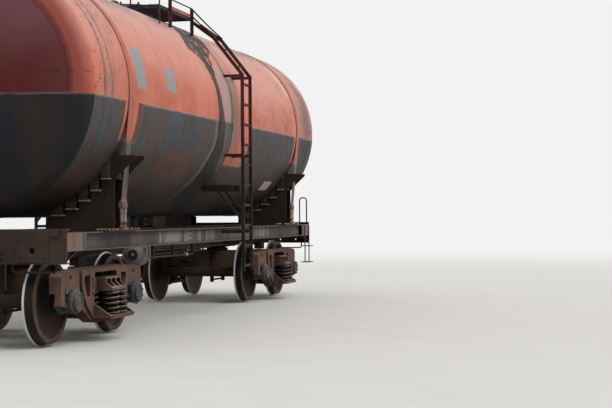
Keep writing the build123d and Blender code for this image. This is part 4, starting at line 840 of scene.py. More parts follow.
finishes = {
    "tank_paint": makeTankFinish(tankLook),
    "wheel_steel": makeWheelFinish(wheelLook),
    "timber": makeTimberFinish(timberLook),
    "sill_paint": weatheredFinish(
        "sillTaupe", sillBase, rust=0.14, wear=0.9, wearColour="8c7566", edgeWidth=0.012, dust=0.55,
        dustColour="857163", streaks=0.35, streakColour="2c2522", recess=0.75,
    ),
    "frame_paint": plainFinish("frameBrown", "342823", "44352e", rust=0.2, rustLight="64402f", dust=0.45),
    "cast_steel": plainFinish(
        "castBrown", "553f36", "715548", rust=0.2, rustScale=6.0, rustDark="462c22", rustLight="824f3a",
        dust=0.85, dustColour="a28b7e", wearColour="8b6f5c", depth=0.003, grain=55.0, roughness=0.72,
    ),
    "box_grey": plainFinish(
        "boxGrey", "434244", "615f60", rust=0.16, rustScale=7.0, rustDark="3a2c24", rustLight="5f483b",
        dust=0.5, dustColour="837567", wearColour="96908a", depth=0.003, grain=55.0, roughness=0.62,
    ),
    "spring_steel": plainFinish(
        "springBrown", "241e1b", "3d322c", rust=0.22, rustScale=14.0, rustDark="3c281e", rustLight="704f3b",
        dust=0.75, film=0.03, dustColour="a69585", wearColour="b3a493", roughness=0.38,
    ),
    "axle_steel": plainFinish("axleBrown", "241e1b", "352b25", rust=0.2, dust=0.3, roughness=0.6, grain=70.0),
    "brake_iron": plainFinish(
        "brakeBlack", "1b1715", "2d2420", rust=0.22, dust=0.4, dustColour="655648", roughness=0.68,
    ),
    "pipe_paint": plainFinish(
        "pipeGrey", "2e2c2a", "403c38", rust=0.14, dust=0.5, dustColour="6f665d", roughness=0.6,
    ),
    "ladder_paint": twoToneFinish(
        "ladderMaroon", 2.25, 0.12, ("552227", "3c161a"), ("181a22", "231e1f"), rust=0.14, wear=0.6,
        wearColour="935a4e", dust=0.3, recess=0.6,
    ),
    "strap_steel": twoToneFinish(
        "strapOrange", 2.31, 0.03, ("c4715c", "b5604b"), ("716567", "5d5153"), rust=0.18, rustLight="8a4a30",
        wearColour="a88a7c", dust=0.4, film=0.04, roughness=0.5, recess=0.6,
    ),
}
# Finishes of single nodes and of small pieces that differ from their slot's common one.
deckFinish = weatheredFinish("deckPaint", deckBase, dust=0.3, wear=0.4, wearColour="7c4f47", recess=0.7)
nodeFinishes = {
    "saddle_plates": plainFinish(
        "saddleBlack", "1f1917", "2e2521", rust=0.2, rustLight="583a2a", dust=0.35, wearColour="65584e",
    ),
    "air_reservoir": plainFinish(
        "reservoirGrey", "8c8d8e", "a3a19d", rust=0.12, dust=0.4, dustColour="938c83", recess=0.3,
    ),
    "deck_left": deckFinish,
    "deck_right": deckFinish,
}
rustyBolt = plainFinish(
    "rustyBolt", "bd8a5f", "9b6440", rust=0.2, rustLight="9a5a38", dust=0.6, dustColour="dcc8b2", recess=0.4,
)
treadBlack = plainFinish("treadBlack", "161215", "21181a", rust=0.1, wear=0.2, wearColour="4a3832", dust=0.1)
paleRod = plainFinish("paleRod", "8b8178", "a39a90", rust=0.15, dust=0.3, dustColour="b8aea3", recess=0.4)

for subpart in frame["record"]["subparts"]:
    mesh = cadNodes[subpart["node"]].data
    mesh.materials.clear()
    mesh.materials.append(nodeFinishes.get(subpart["node"], finishes[subpart["material_slot"]]))
print("finishes made:", len(finishes) + len(nodeFinishes))


# Surface tools. A surface is a pair: its points, and its four-sided faces as rows of point numbers.

xAxis, yAxis, zAxis = np.eye(3)
origin = np.zeros(3)


# The faces of a grid of points, rows by columns. A wrapped direction joins its last line to its first.
def gridFaces(rows, columns, wrapRows=False, wrapColumns=False):
    index = np.arange(rows * columns).reshape(rows, columns)
    if wrapRows:
        index = np.vstack([index, index[:1]])
    if wrapColumns:
        index = np.hstack([index, index[:, :1]])
    corners = [index[:-1, :-1], index[1:, :-1], index[1:, 1:], index[:-1, 1:]]
    return np.stack(corners, axis=-1).reshape(-1, 4)


# Two directions square to an axis.
def crossFrame(axis):
    axis = np.asarray(axis, float) / np.linalg.norm(axis)
    helper = zAxis if abs(axis[2]) < 0.9 else xAxis
    first = np.cross(helper, axis)
    first /= np.linalg.norm(first)
    return axis, first, np.cross(axis, first)


# A turned body: p(s, a) = start + along(s) axis + radius(s) (cos a first + sin a second).
def lathe(profile, start, axis, sides=24):
    along, radius = np.asarray(profile, float).T
    axis, first, second = crossFrame(axis)
    angle = np.linspace(0, 2 * np.pi, sides, endpoint=False)
    ring = np.cos(angle)[:, None] * first + np.sin(angle)[:, None] * second
    points = np.asarray(start) + along[:, None, None] * axis + radius[:, None, None] * ring
    return points.reshape(-1, 3), gridFaces(len(along), sides, wrapColumns=True)


# A round bar along a path: p(s, a) = c(s) + r(s) (cos a n(s) + sin a b(s)), where the tangent t comes from
# differences, b is t x up and n is b x t. The ends close onto the path.
def tube(path, radius, sides=8, up=zAxis, closed=False):
    path = np.asarray(path, float)
    radius = np.broadcast_to(radius, len(path)).astype(float)
    if closed:
        tangent = np.roll(path, -1, axis=0) - np.roll(path, 1, axis=0)
    else:
        tangent = np.gradient(path, axis=0)
    tangent /= np.linalg.norm(tangent, axis=1, keepdims=True)
    side = np.cross(tangent, up)
    side /= np.linalg.norm(side, axis=1, keepdims=True)
    rise = np.cross(side, tangent)
    angle = np.linspace(0, 2 * np.pi, sides, endpoint=False)
    ring = np.cos(angle)[None, :, None] * rise[:, None] + np.sin(angle)[None, :, None] * side[:, None]
    points = path[:, None] + radius[:, None, None] * ring
    if not closed:
        first, last = np.repeat(path[:1, None], sides, 1), np.repeat(path[-1:, None], sides, 1)
        points = np.concatenate([first, points, last])
    return points.reshape(-1, 3), gridFaces(len(points), sides, wrapRows=closed, wrapColumns=True)


# A flat plate with rounded corners, given by its middle, two half sides and its thickness. Its outline is
# |x|^n + |y|^n = 1, where n is the power, and its rim is stepped in at both faces, as a worn edge is.
def roundPlate(middle, halfSides, normal, thickness, sides=32, power=8.0, edge=0.002):
    normal, first, second = crossFrame(normal)
    angle = np.linspace(0, 2 * np.pi, sides, endpoint=False) + np.pi / sides
    reach = (np.abs(np.cos(angle)) ** power + np.abs(np.sin(angle)) ** power) ** (-1 / power)
    outline = np.stack([reach * np.cos(angle), reach * np.sin(angle)], axis=1)
    inset = np.array([-1.0, edge, 0.0, 0.0, edge, -1.0])
    height = np.array([0.0, 0.0, edge, thickness - edge, thickness, thickness])
    size = np.where(inset[:, None] < 0, 0.0, np.asarray(halfSides) - inset[:, None])
    flat = outline[None] * size[:, None]
    points = np.asarray(middle) + flat[..., :1] * first + flat[..., 1:] * second
    points = points + height[:, None, None] * normal
    return points.reshape(-1, 3), gridFaces(len(height), sides, wrapColumns=True)


# The same with nearly square corners.
def squarePlate(middle, halfSides, normal, thickness, edge):
    return roundPlate(middle, halfSides, normal, thickness, power=12.0, edge=edge)


# One surface at many places.
def copies(surface, places):
    points, faces = surface
    places = np.asarray(places, float)
    moved = points[None] + places[:, None]
    numbered = faces[None] + (np.arange(len(places)) * len(points))[:, None, None]
    return moved.reshape(-1, 3), numbered.reshape(-1, 4)


# The same surface on the other side of the plane through the origin whose normal is one of the axes.
def mirrored(surface, axis):
    points, faces = surface
    flipped = points * np.where(np.arange(3) == axis, -1.0, 1.0)
    return flipped, faces[:, ::-1]


def bothSides(surface, axis=1):
    return joined([surface, mirrored(surface, axis)])


def joined(surfaces):
    starts = np.cumsum([0] + [len(points) for points, _ in surfaces[:-1]])
    points = np.vstack([points for points, _ in surfaces])
    faces = np.vstack([faces + start for (_, faces), start in zip(surfaces, starts)])
    return points, faces


# Mesh object from surfaces: doubles merged, normals turned outwards, edges sharp past an angle.
def makePiece(name, surfaces, slot, body, sharp=40, finish=None):
    points, faces = joined(surfaces)
    mesh = bpy.data.meshes.new(name)
    mesh.from_pydata(points.tolist(), [], faces.tolist())
    work = bmesh.new()
    work.from_mesh(mesh)
    bmesh.ops.remove_doubles(work, verts=work.verts, dist=2e-5)
    bmesh.ops.recalc_face_normals(work, faces=work.faces)
    work.to_mesh(mesh)
    work.free()
    mesh.shade_smooth()
    mesh.set_sharp_from_angle(angle=math.radians(sharp))
    mesh.materials.append(finish or finishes[slot])
    piece = bpy.data.objects.new(name, mesh)
    scene.collection.objects.link(piece)
    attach(piece, body)
    return piece


# Hexagon bolt head or nut: a six-sided turned body with a chamfered top.
def hexHead(across, height, axis):
    corner = across / math.sqrt(3)
    profile = [(0, 0), (0, corner), (0.8 * height, corner), (height, 0.8 * corner), (height, 0)]
    return lathe(profile, origin, axis, sides=6)


# Nut with the bolt's round end standing out of it.
def hexNut(across, height, axis):
    shank = 0.29 * across
    profile = [(0.5, 0), (0.5, shank), (1.5, shank), (1.6, 0.7 * shank), (1.6, 0)]
    bolt = lathe(np.array(profile) * [height, 1], origin, axis, sides=8)
    return joined([hexHead(across, height, axis), bolt])


# Round rivet head: r(t) = R cos t, h(t) = H sin t.
def rivet(radius, height, axis):
    rise = np.linspace(0, np.pi / 2, 4)
    profile = np.stack([height * np.sin(rise), radius * np.cos(rise)], axis=1)
    return lathe(np.vstack([[0, 0], profile]), origin, axis, sides=8)


# Tank shell

# The meridian is a dished head, a straight run and the other head. The surface is
# p(x, a) = (x, R cos a, axis + R sin a) with R = r(x) + beads + dents, where a bead is
# h exp(-((x - x0) / w)^2), and so is the lengthwise one in a, and a dent is -d exp(-(dx^2 + (r da)^2) / w^2).
tankSetting = {
    "headDepth": 0.41, "knuckle": 0.18, "crownRings": 22, "knuckleRings": 14, "rings": 150, "sides": 150,
    "beadPlaces": (0.51, 4.5, 4.68, 4.72, 5.0), "middleBeads": (-0.51, 0.03), "sideBead": 2.783,
    "beadHeight": 0.0045, "beadWidth": 0.007, "sumpRadius": 0.16, "sumpRim": 0.02, "sumpPlace": -0.24,
    "sumpTop": 0.09,
}
# Dents. Columns: place along, angle round from the left side in degrees (up is positive), width, depth.
dents = (
    (-4.35, 22, 0.22, 0.006), (-2.9, -14, 0.35, 0.007), (-1.7, 12, 0.28, 0.005), (1.9, -20, 0.4, 0.008),
    (3.1, 18, 0.25, 0.005), (-3.1, 200, 0.4, 0.007), (0.9, 165, 0.3, 0.006), (2.7, 190, 0.35, 0.007),
)
# Places across a bead, in widths.
beadSteps = np.linspace(-2.4, 2.4, 9)


def beadRings(look):
    return np.concatenate([look["middleBeads"], look["beadPlaces"], -np.array(look["beadPlaces"])])


# The meridian: places along the tank and the radius at each, closer at the beads.
def tankStations(look):
    half, depth, knuckle = tankHigh.x, look["headDepth"], look["knuckle"]
    straight = half - depth
    rise = tankRadius - knuckle
    # The crown's radius, with which its arc runs into the knuckle's without a corner.
    crown = (depth ** 2 + rise ** 2 - knuckle ** 2) / (2 * (depth - knuckle))
    turn = math.asin(rise / (crown - knuckle))
    onCrown = np.linspace(0, turn, look["crownRings"])
    onKnuckle = np.linspace(turn, np.pi / 2, look["knuckleRings"])[1:]
    headX = np.concatenate([half - crown + crown * np.cos(onCrown), straight + knuckle * np.cos(onKnuckle)])
    headR = np.concatenate([crown * np.sin(onCrown), rise + knuckle * np.sin(onKnuckle)])
    close = (beadRings(look)[:, None] + beadSteps * look["beadWidth"]).ravel()
    plain = np.linspace(-straight, straight, look["rings"])
    plain = plain[np.min(np.abs(plain[:, None] - close), axis=1) > look["beadWidth"]]
    runX = np.unique(np.round(np.concatenate([close[np.abs(close) < straight], plain[1:-1]]), 5))
    x = np.concatenate([-headX, runX, headX[::-1]])
    r = np.concatenate([headR, np.full(len(runX), tankRadius), headR[::-1]])
    return x, r


def makeTank(look):
    x, r = tankStations(look)
    sideAngle = math.asin((look["sideBead"] - tankAxis) / tankRadius)
    sides = np.array([sideAngle, np.pi - sideAngle])
    seams = (sides[:, None] + beadSteps * look["beadWidth"] / tankRadius).ravel()
    evenly = np.linspace(-np.pi / 2, 1.5 * np.pi, look["sides"], endpoint=False)
    angle = np.unique(np.round(np.concatenate([evenly, seams]), 6))
    seamOffset = np.min(np.abs(angle[:, None] - sides), axis=1) * tankRadius
    ringOffset = np.min(np.abs(x[:, None] - beadRings(look)), axis=1)
    ringBead = look["beadHeight"] * np.exp(-((ringOffset / look["beadWidth"]) ** 2))
    sideBead = 0.5 * look["beadHeight"] * np.exp(-((seamOffset / look["beadWidth"]) ** 2))
    onStraight = np.abs(x) < look["beadPlaces"][-1]
    radius = r[:, None] + np.maximum(ringBead[:, None], sideBead * onStraight[:, None])
    table = np.array(dents)
    dentAngle = np.pi - np.radians(table[:, 1])
    around = (angle[None, :, None] - dentAngle + np.pi) % (2 * np.pi) - np.pi
    distance = (x[:, None, None] - table[:, 0]) ** 2 + (tankRadius * around) ** 2
    radius -= np.sum(table[:, 3] * np.exp(-distance / table[:, 2] ** 2), axis=2)
    alongGrid = np.broadcast_to(x[:, None], radius.shape)
    points = np.stack([alongGrid, radius * np.cos(angle), tankAxis + radius * np.sin(angle)], axis=-1)
    shell = points.reshape(-1, 3), gridFaces(len(x), len(angle), wrapColumns=True)
    top = look["sumpTop"] + tankAxis - tankRadius - tankLow.z
    wide = look["sumpRadius"]
    profile = [(0, 0), (0, wide - look["sumpRim"]), (0.004, wide), (top, wide), (top, 0)]
    sump = lathe(profile, (look["sumpPlace"], 0, tankLow.z), zAxis, sides=48)
    shellPiece = makePiece("tankShell", [shell, sump], "tank_paint", "car", sharp=35)
    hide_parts("tank")


makeTank(tankSetting)
print("tank shell made")


# Springs

# A coil: p(t) = (R cos t, R sin t, z(t)), where z rests flat for the first and last part turn and climbs
# evenly between, and the wire's end is tapered.
springSetting = {
    "outer": {"radius": 0.085, "wire": 0.015, "turns": 5.5, "sides": 9, "hand": 1},
    "inner": {"radius": 0.046, "wire": 0.0095, "turns": 7.6, "sides": 6, "hand": -1},
    "rest": 0.72, "stepsPerTurn": 20, "taperTurns": 0.6,
}
# Places of the coils in a nest. Columns: along from the nest's middle, across from it.
coilPlaces = ((-0.24, 0), (0, 0), (0.24, 0), (-0.12, -0.208), (0.12, -0.208), (-0.12, 0.208), (0.12, 0.208))


def coil(look, bar, low, high):
    turns, wire, radius = bar["turns"], bar["wire"], bar["radius"]
    turn = np.linspace(0, turns, int(turns * look["stepsPerTurn"]))
    climb = np.clip((turn - look["rest"]) / (turns - 2 * look["rest"]), 0, 1)
    z = low + wire + (high - low - 2 * wire) * climb
    angle = 2 * np.pi * turn * bar["hand"]
    path = np.stack([radius * np.cos(angle), radius * np.sin(angle), z], axis=1)
    flatten = np.clip(np.minimum(turn, turns - turn) / look["taperTurns"], 0.5, 1)
    return tube(path, wire * flatten, bar["sides"])


def makeSprings(look):
    for number, pivot in enumerate(pivotX, 1):
        low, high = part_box(f"bogie_{number}_springs")
        nestY = high.y - look["outer"]["radius"] - look["outer"]["wire"] - coilPlaces[-1][1]
        places = [(pivot + x, side * nestY + y, 0) for side in (-1, 1) for x, y in coilPlaces]
        bars = [copies(coil(look, look[name], low.z, high.z), places) for name in ("outer", "inner")]
        nest = makePiece(f"coilNests_{number}", bars, "spring_steel", f"bogie_{number}", sharp=70)
        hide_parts(f"bogie_{number}_springs")


makeSprings(springSetting)
print("springs made")


# Strap fittings

# Nuts where the tie rods leave the end blocks and the anchors, sleeves on the rods, and bolt rows on the base
# plates. A nut or bolt is given by its width across flats and its height.
strapSetting = {
    "strapX": 3.92, "plateX": 3.9, "rodShift": 0.048, "rodY": 1.344, "blockBottom": 1.548, "blockTop": 1.608,
    "anchorTop": 1.313, "nut": (0.044, 0.026), "sleeveBottom": 1.375, "plateTop": 1.289,
    "boltRows": (1.205, 1.345), "boltOffsets": (0.225, 0.3375, 0.45), "bolt": (0.032, 0.016),
}
# A sleeve's profile. Columns: height, radius.
sleeveProfile = (
    (0, 0), (0, 0.021), (0.012, 0.0245), (0.03, 0.0245), (0.04, 0.02), (0.11, 0.02), (0.12, 0.0245),
    (0.138, 0.0245), (0.15, 0.021), (0.15, 0),
)


def makeStrapFittings(look):
    rods = np.array([
        (end * look["strapX"] + way * look["rodShift"], look["rodY"], 0) for end in (-1, 1) for way in (-1, 1)
    ])
    under = copies(hexHead(*look["nut"], -zAxis), rods + look["blockBottom"] * zAxis)
    above = copies(hexNut(*look["nut"], zAxis), rods + look["blockTop"] * zAxis)
    low = copies(hexHead(*look["nut"], zAxis), rods + look["anchorTop"] * zAxis)
    sleeve = lathe(sleeveProfile, origin, zAxis, sides=14)
    sleeves = copies(sleeve, rods + look["sleeveBottom"] * zAxis)
    makePiece("rodSleeves", [bothSides(sleeves)], "strap_steel", "car", finish=paleRod)
    places = [
        (end * look["plateX"] + way * offset, row, look["plateTop"])
        for end in (-1, 1) for way in (-1, 1) for offset in look["boltOffsets"] for row in look["boltRows"]
    ]
    bolts = copies(hexHead(*look["bolt"], zAxis), places)
    nuts = [bothSides(surface) for surface in (under, above, low, bolts)]
    makePiece("strapNuts", nuts, "strap_steel", "car", finish=rustyBolt)


makeStrapFittings(strapSetting)
print("strap fittings made")


# Strips along the saddles' steps

# Angles on the tank, below the level of its axis, where one step ends and the next begins. The faces are the
# outer sides of the saddle's webs.
saddleSetting = {
    "angles": (33, 41, 48.5, 56, 63.5, 71), "lip": 0.03, "depth": 0.045, "faces": (3.75, 4.05), "axis": 2.89,
    "radius": 1.455, "thickness": 0.018, "half": 0.018, "sunk": 0.002, "edge": 0.0015,
}


# A strip under the end of each timber: y = R cos a + lip, z = axis - R sin a - depth.
def makeStepStrips(look):
    angles = np.radians(look["angles"])
    places = look["radius"] * np.cos(angles) + look["lip"]
    floors = look["axis"] - look["radius"] * np.sin(angles[1:]) - look["depth"]
    surfaces = []
    for face, way in zip(look["faces"], (-1, 1)):
        x = face + way * (look["half"] - look["sunk"])
        for outer, inner, floor in zip(places, places[1:], floors):
            middle = (x, (outer + inner) / 2, floor - look["thickness"])
            halfSides = ((outer - inner) / 2, look["half"])
            surfaces.append(squarePlate(middle, halfSides, zAxis, look["thickness"], look["edge"]))
    strips = bothSides(bothSides(joined(surfaces), 1), 0)
    makePiece("stepStrips", [strips], "strap_steel", "car", finish=paleRod)


makeStepStrips(saddleSetting)
print("saddle strips made")


# Ladder treads and deck trim

ladderSetting = {
    "x": (0.05, 0.45), "y": 1.62, "firstRung": 0.718, "spacing": 0.292, "rungs": 10,
    "treadHalf": (0.193, 0.02), "treadThick": 0.01, "edge": 0.0015, "stileHalf": 0.007,
    "bracketZ": (1.213, 2.318, 3.468), "bolt": (0.026, 0.012), "armBoltY": (1.38, 1.44), "armZ": 1.842,
}
deckSetting = {
    "postX": (-0.95, -0.015), "postTop": (4.6, 4.44), "postBottom": 4.06, "postFace": 0.868, "flange": 0.04,
    "sunk": 0.002, "edge": 0.001, "thickness": 0.006, "rodRadius": 0.011, "rodSag": 0.012, "rodSteps": 7,
    "bolt": (0.022, 0.01), "boltX": (-1.335, -0.95, -0.015), "boltZ": (4.12, 4.18),
    "boardPlace": (-0.47, 0.8605, 4.35), "boardHalf": (0.44, 0.022),
}
# Sloping hand rods beside a deck, above and below. Columns: first point, last point.
slopingRods = (
    ((-0.015, 0.875, 4.458), (0.45, 1.195, 4.06)),
    ((-0.01, 0.88, 4.35), (0.05, 1.17, 4.075)),
)


def makeLadderTrim(look):
    middle = sum(look["x"]) / 2
    heights = look["firstRung"] + look["spacing"] * np.arange(look["rungs"])
    tread = squarePlate(origin, look["treadHalf"], yAxis, look["treadThick"], look["edge"])
    treads = copies(tread, [(middle, look["y"] - look["treadThick"] / 2, z) for z in heights])
    makePiece("ladderTreads", [bothSides(treads)], "ladder_paint", "car", finish=treadBlack)
    surfaces = []
    for x, way in zip(look["x"], (-1, 1)):
        face = x + way * look["stileHalf"]
        places = [(face, look["y"], z) for z in look["bracketZ"]]
        places += [(face, y, look["armZ"]) for y in look["armBoltY"]]
        surfaces.append(copies(hexHead(*look["bolt"], way * xAxis), places))
    makePiece("ladderBolts", [bothSides(surface) for surface in surfaces], "ladder_paint", "car")


def makeDeckTrim(look):
    surfaces = []
    for x, top in zip(look["postX"], look["postTop"]):
        halfSides = (look["flange"] / 2, (top - look["postBottom"]) / 2)
        middle = (x, look["postFace"] + halfSides[0] - look["sunk"], (top + look["postBottom"]) / 2)
        surfaces.append(squarePlate(middle, halfSides, xAxis, look["thickness"], look["edge"]))
    for first, last in slopingRods:
        path = np.linspace(first, last, look["rodSteps"])
        # The rod sags a little: z falls by sag sin(pi t).
        path[:, 2] -= look["rodSag"] * np.sin(np.pi * np.linspace(0, 1, look["rodSteps"]))
        surfaces.append(tube(path, look["rodRadius"], sides=10))
    places = [(x, look["postFace"], z) for x in look["boltX"] for z in look["boltZ"]]
    surfaces.append(copies(hexHead(*look["bolt"], yAxis), places))
    makePiece("deckTrim", [bothSides(surface) for surface in surfaces], "ladder_paint", "car")
    board = squarePlate(look["boardPlace"], look["boardHalf"], yAxis, look["thickness"], look["edge"])
    makePiece("toeBoards", [bothSides(board)], "ladder_paint", "car", finish=finishes["strap_steel"])


makeLadderTrim(ladderSetting)
makeDeckTrim(deckSetting)
print("ladder and deck trim made")


# Rivets and bolts of the frame

frameSetting = {
    "face": 5.4, "striker": 5.47, "strikerBolts": (0.2, 0.16), "coupling": 1.088, "bolt": (0.036, 0.018),
    "rivet": (0.013, 0.009), "endRivetY": (0.3, 0.36), "endRivetZ": (0.96, 1.02, 1.08, 1.14, 1.2, 1.26),
    "webFace": 1.2222, "webRivetZ": (1.115, 1.173, 1.231),
}
# Rivet columns on the side sills' webs, at the cross beams: places along.
webRivetX = (-1.18, -1.12, 0.59, 0.65)


def makeFrameRivets(look):
    face = [(look["face"], y, z) for y in look["endRivetY"] for z in look["endRivetZ"]]
    ends = bothSides(bothSides(copies(rivet(*look["rivet"], xAxis), face), 1), 0)
    web = [(x, look["webFace"], z) for x in webRivetX for z in look["webRivetZ"]]
    webs = bothSides(copies(rivet(*look["rivet"], yAxis), web), 1)
    halfY, halfZ = look["strikerBolts"]
    corners = [(look["striker"], y, look["coupling"] + z) for y in (-halfY, halfY) for z in (-halfZ, halfZ)]
    bolts = copies(hexHead(*look["bolt"], xAxis), corners)
    makePiece("frameRivets", [ends, webs, bothSides(bolts, 0)], "frame_paint", "car")


makeFrameRivets(frameSetting)
print("frame rivets made")


# Bolts of the bogies

bogieSetting = {
    "boxRing": 0.099, "boxBolts": 8, "boxFace": 1.184, "boxBolt": (0.02, 0.01), "face": 1.118,
    "faceBolts": (0.402, (0.575, 0.655, 0.735)), "faceBolt": (0.034, 0.016),
}


# Places evenly round a ring in the plane of two given axes.
def ringPlaces(middle, radius, count, first, second, turn=0.0):
    angle = np.linspace(0, 2 * np.pi, count, endpoint=False) + turn
    around = np.cos(angle)[:, None] * first + np.sin(angle)[:, None] * second
    return np.asarray(middle) + radius * around


def makeBogieBolts(look):
    for number, pivot in enumerate(pivotX, 1):
        count = look["boxBolts"]
        middles = [(pivot + way * halfBase, look["boxFace"], axleHeight) for way in (-1, 1)]
        turn = np.pi / count
        rings = [ringPlaces(middle, look["boxRing"], count, xAxis, zAxis, turn) for middle in middles]
        boxBolts = copies(hexHead(*look["boxBolt"], yAxis), np.vstack(rings))
        makePiece(f"boxBolts_{number}", [bothSides(boxBolts)], "box_grey", f"bogie_{number}")
        shift, heights = look["faceBolts"]
        places = [(pivot + way * shift, look["face"], z) for way in (-1, 1) for z in heights]
        faceBolts = copies(hexNut(*look["faceBolt"], yAxis), places)
        makePiece(f"frameBolts_{number}", [bothSides(faceBolts)], "cast_steel", f"bogie_{number}")


makeBogieBolts(bogieSetting)
print("bogie bolts made")


# Hatch, valves and drain

hatchSetting = {
    "middle": -0.24, "rimTop": 4.4793, "ring": 0.325, "dogAngles": (90, 135, 180, 225, 270),
    "dogHalf": (0.018, 0.026), "dogThick": 0.012, "nut": (0.026, 0.018), "flangeBottom": 4.437,
    "flangeBolts": 14, "flangeRing": 0.329, "flangeTurn": 0.22, "flangeBolt": (0.024, 0.014),
    "valveX": (-0.86, 0.46), "valveZ": 4.359, "valveRing": 0.0785, "valveBolts": 6,
    "valveBolt": (0.018, 0.01), "drainRing": 0.131, "drainTop": 0.828, "drainBottom": 0.804,
    "drainBolts": 8, "drainBolt": (0.022, 0.014),
}


# Places evenly round a level ring.
def levelRing(x, z, radius, count, turn=0.0):
    return ringPlaces((x, 0, z), radius, count, xAxis, yAxis, turn)


def makeHatchTrim(look):
    angle = np.radians(look["dogAngles"])[:, None]
    ring = look["ring"] * (np.cos(angle) * xAxis + np.sin(angle) * yAxis)
    ring = ring + [look["middle"], 0, look["rimTop"]]
    dog = roundPlate(origin, look["dogHalf"], zAxis, look["dogThick"], sides=20)
    nuts = copies(hexNut(*look["nut"], zAxis), ring + look["dogThick"] * zAxis)
    makePiece("lidDogs", [copies(dog, ring), nuts], "tank_paint", "hatch_lid")
    down = hexHead(*look["flangeBolt"], -zAxis)
    around = levelRing(
        look["middle"], look["flangeBottom"], look["flangeRing"], look["flangeBolts"], look["flangeTurn"],
    )
    surfaces = [copies(down, around)]
    small = hexHead(*look["valveBolt"], zAxis)
    for x in look["valveX"]:
        surfaces.append(copies(small, levelRing(x, look["valveZ"], look["valveRing"], look["valveBolts"])))
    makePiece("hatchBolts", surfaces, "ladder_paint", "car")
    up = hexHead(*look["drainBolt"], zAxis)
    drains = [
        copies(head, levelRing(look["middle"], height, look["drainRing"], look["drainBolts"]))
        for head, height in ((up, look["drainTop"]), (down, look["drainBottom"]))
    ]
    makePiece("drainBolts", drains, "pipe_paint", "car")


makeHatchTrim(hatchSetting)
print("hatch trim made")


# Air brake and coupler trim

brakeSetting = {
    "reservoirX": (-2.12, -1.84), "reservoirY": -0.76, "reservoirZ": 0.941, "reservoirRadius": 0.148,
    "dome": 0.045, "seamHalf": 0.009, "plug": (0.042, 0.02), "plugSunk": 0.004, "discSunk": 0.006,
    "cylinderX": (-0.38, 0.18), "cylinderY": 0.64, "cylinderZ": 0.878, "cylinderRing": 0.197,
    "cylinderBolts": 8, "cylinderTurn": 0.3, "cylinderBolt": (0.022, 0.012),
}
# Profiles. Columns: along the axis, radius, which for the seam is counted from the reservoir's side.
seamProfile = ((0, 0), (0.006, 0.004), (0.012, 0.004), (0.018, 0))
discProfile = ((0, 0), (0, 0.066), (0.004, 0.07), (0.012, 0.07), (0.012, 0))
collarProfile = ((0, 0), (0, 0.02), (0.006, 0.026), (0.05, 0.026), (0.056, 0.02), (0.056, 0))
# The rod under the left sill with its hangers, and the plate on the sill.
sillTrimSetting = {
    "rodX": (-2.76, -1.1), "rodY": -1.245, "rodZ": 0.925, "rodRadius": 0.012, "rodSteps": 9,
    "hangerX": (-2.7, -1.95, -1.16), "hangerHalf": 0.018, "hangerThick": 0.008, "hangerBelow": 0.02,
    "sillBottom": 1.073, "fittingX": -1.43, "plateX": (-2.57, -1.61), "plateY": -1.252, "plateZ": 1.273,
    "plateHalf": 0.032, "plateThick": 0.012,
}
# A link of the coupler's chain: p(t) = c + a cos t along + b sin t across, with a the half length and b the
# half width.
chainSetting = {
    "halfLength": 0.021, "halfWidth": 0.0115, "wire": 0.0034, "links": 9, "sag": 0.045, "steps": 10,
}
chainEnds = ((5.486, 0.19, 1.005), (5.7, 0.135, 1.11))


def makeBrakeTrim(look):
    near, far = look["reservoirX"]
    level = [0, look["reservoirY"], look["reservoirZ"]]
    side = [(along, look["reservoirRadius"] + out) for along, out in seamProfile]
    seam = lathe([(0, 0), *side, (seamProfile[-1][0], 0)], origin, xAxis, sides=40)
    ends = [near + look["dome"] - look["seamHalf"], far - look["dome"] - look["seamHalf"]]
    seams = copies(seam, [x * xAxis + level for x in ends])
    disc = lathe(discProfile, (near - look["discSunk"]) * xAxis + level, xAxis, sides=28)
    makePiece("reservoirDisc", [disc], "pipe_paint", "car")
    plugs = copies(hexNut(*look["plug"], -xAxis), [(near + look["plugSunk"]) * xAxis + level])
    makePiece("reservoirTrim", [seams, plugs], "pipe_paint", "car", finish=nodeFinishes["air_reservoir"])
    surfaces = []
    for x, way in zip(look["cylinderX"], (-1, 1)):
        middle = (x, look["cylinderY"], look["cylinderZ"])
        ring = ringPlaces(
            middle, look["cylinderRing"], look["cylinderBolts"], yAxis, zAxis, look["cylinderTurn"],
        )
        surfaces.append(copies(hexHead(*look["cylinderBolt"], way * xAxis), ring))
    makePiece("cylinderBolts", surfaces, "pipe_paint", "car")


def makeSillTrim(look):
    level = np.array([0, look["rodY"], look["rodZ"]])
    path = np.linspace(*look["rodX"], look["rodSteps"])[:, None] * xAxis + level
    surfaces = [tube(path, look["rodRadius"], sides=10)]
    halfHeight = (look["sillBottom"] - look["rodZ"] + look["hangerBelow"]) / 2
    hanger = squarePlate(origin, (look["hangerHalf"], halfHeight), xAxis, look["hangerThick"], 0.001)
    middleZ = look["sillBottom"] - halfHeight
    surfaces.append(copies(hanger, [(x, look["rodY"], middleZ) for x in look["hangerX"]]))
    first, last = look["plateX"]
    halfPlate = (look["plateHalf"], (last - first) / 2)
    middle = ((first + last) / 2, look["plateY"], look["plateZ"])
    surfaces.append(roundPlate(middle, halfPlate, zAxis, look["plateThick"], sides=48, power=14.0))
    makePiece("sillTrim", surfaces, "brake_iron", "car")
    fitting = lathe(collarProfile, look["fittingX"] * xAxis + level, xAxis, sides=16)
    makePiece("rodFitting", [fitting], "brake_iron", "car", finish=paleRod)


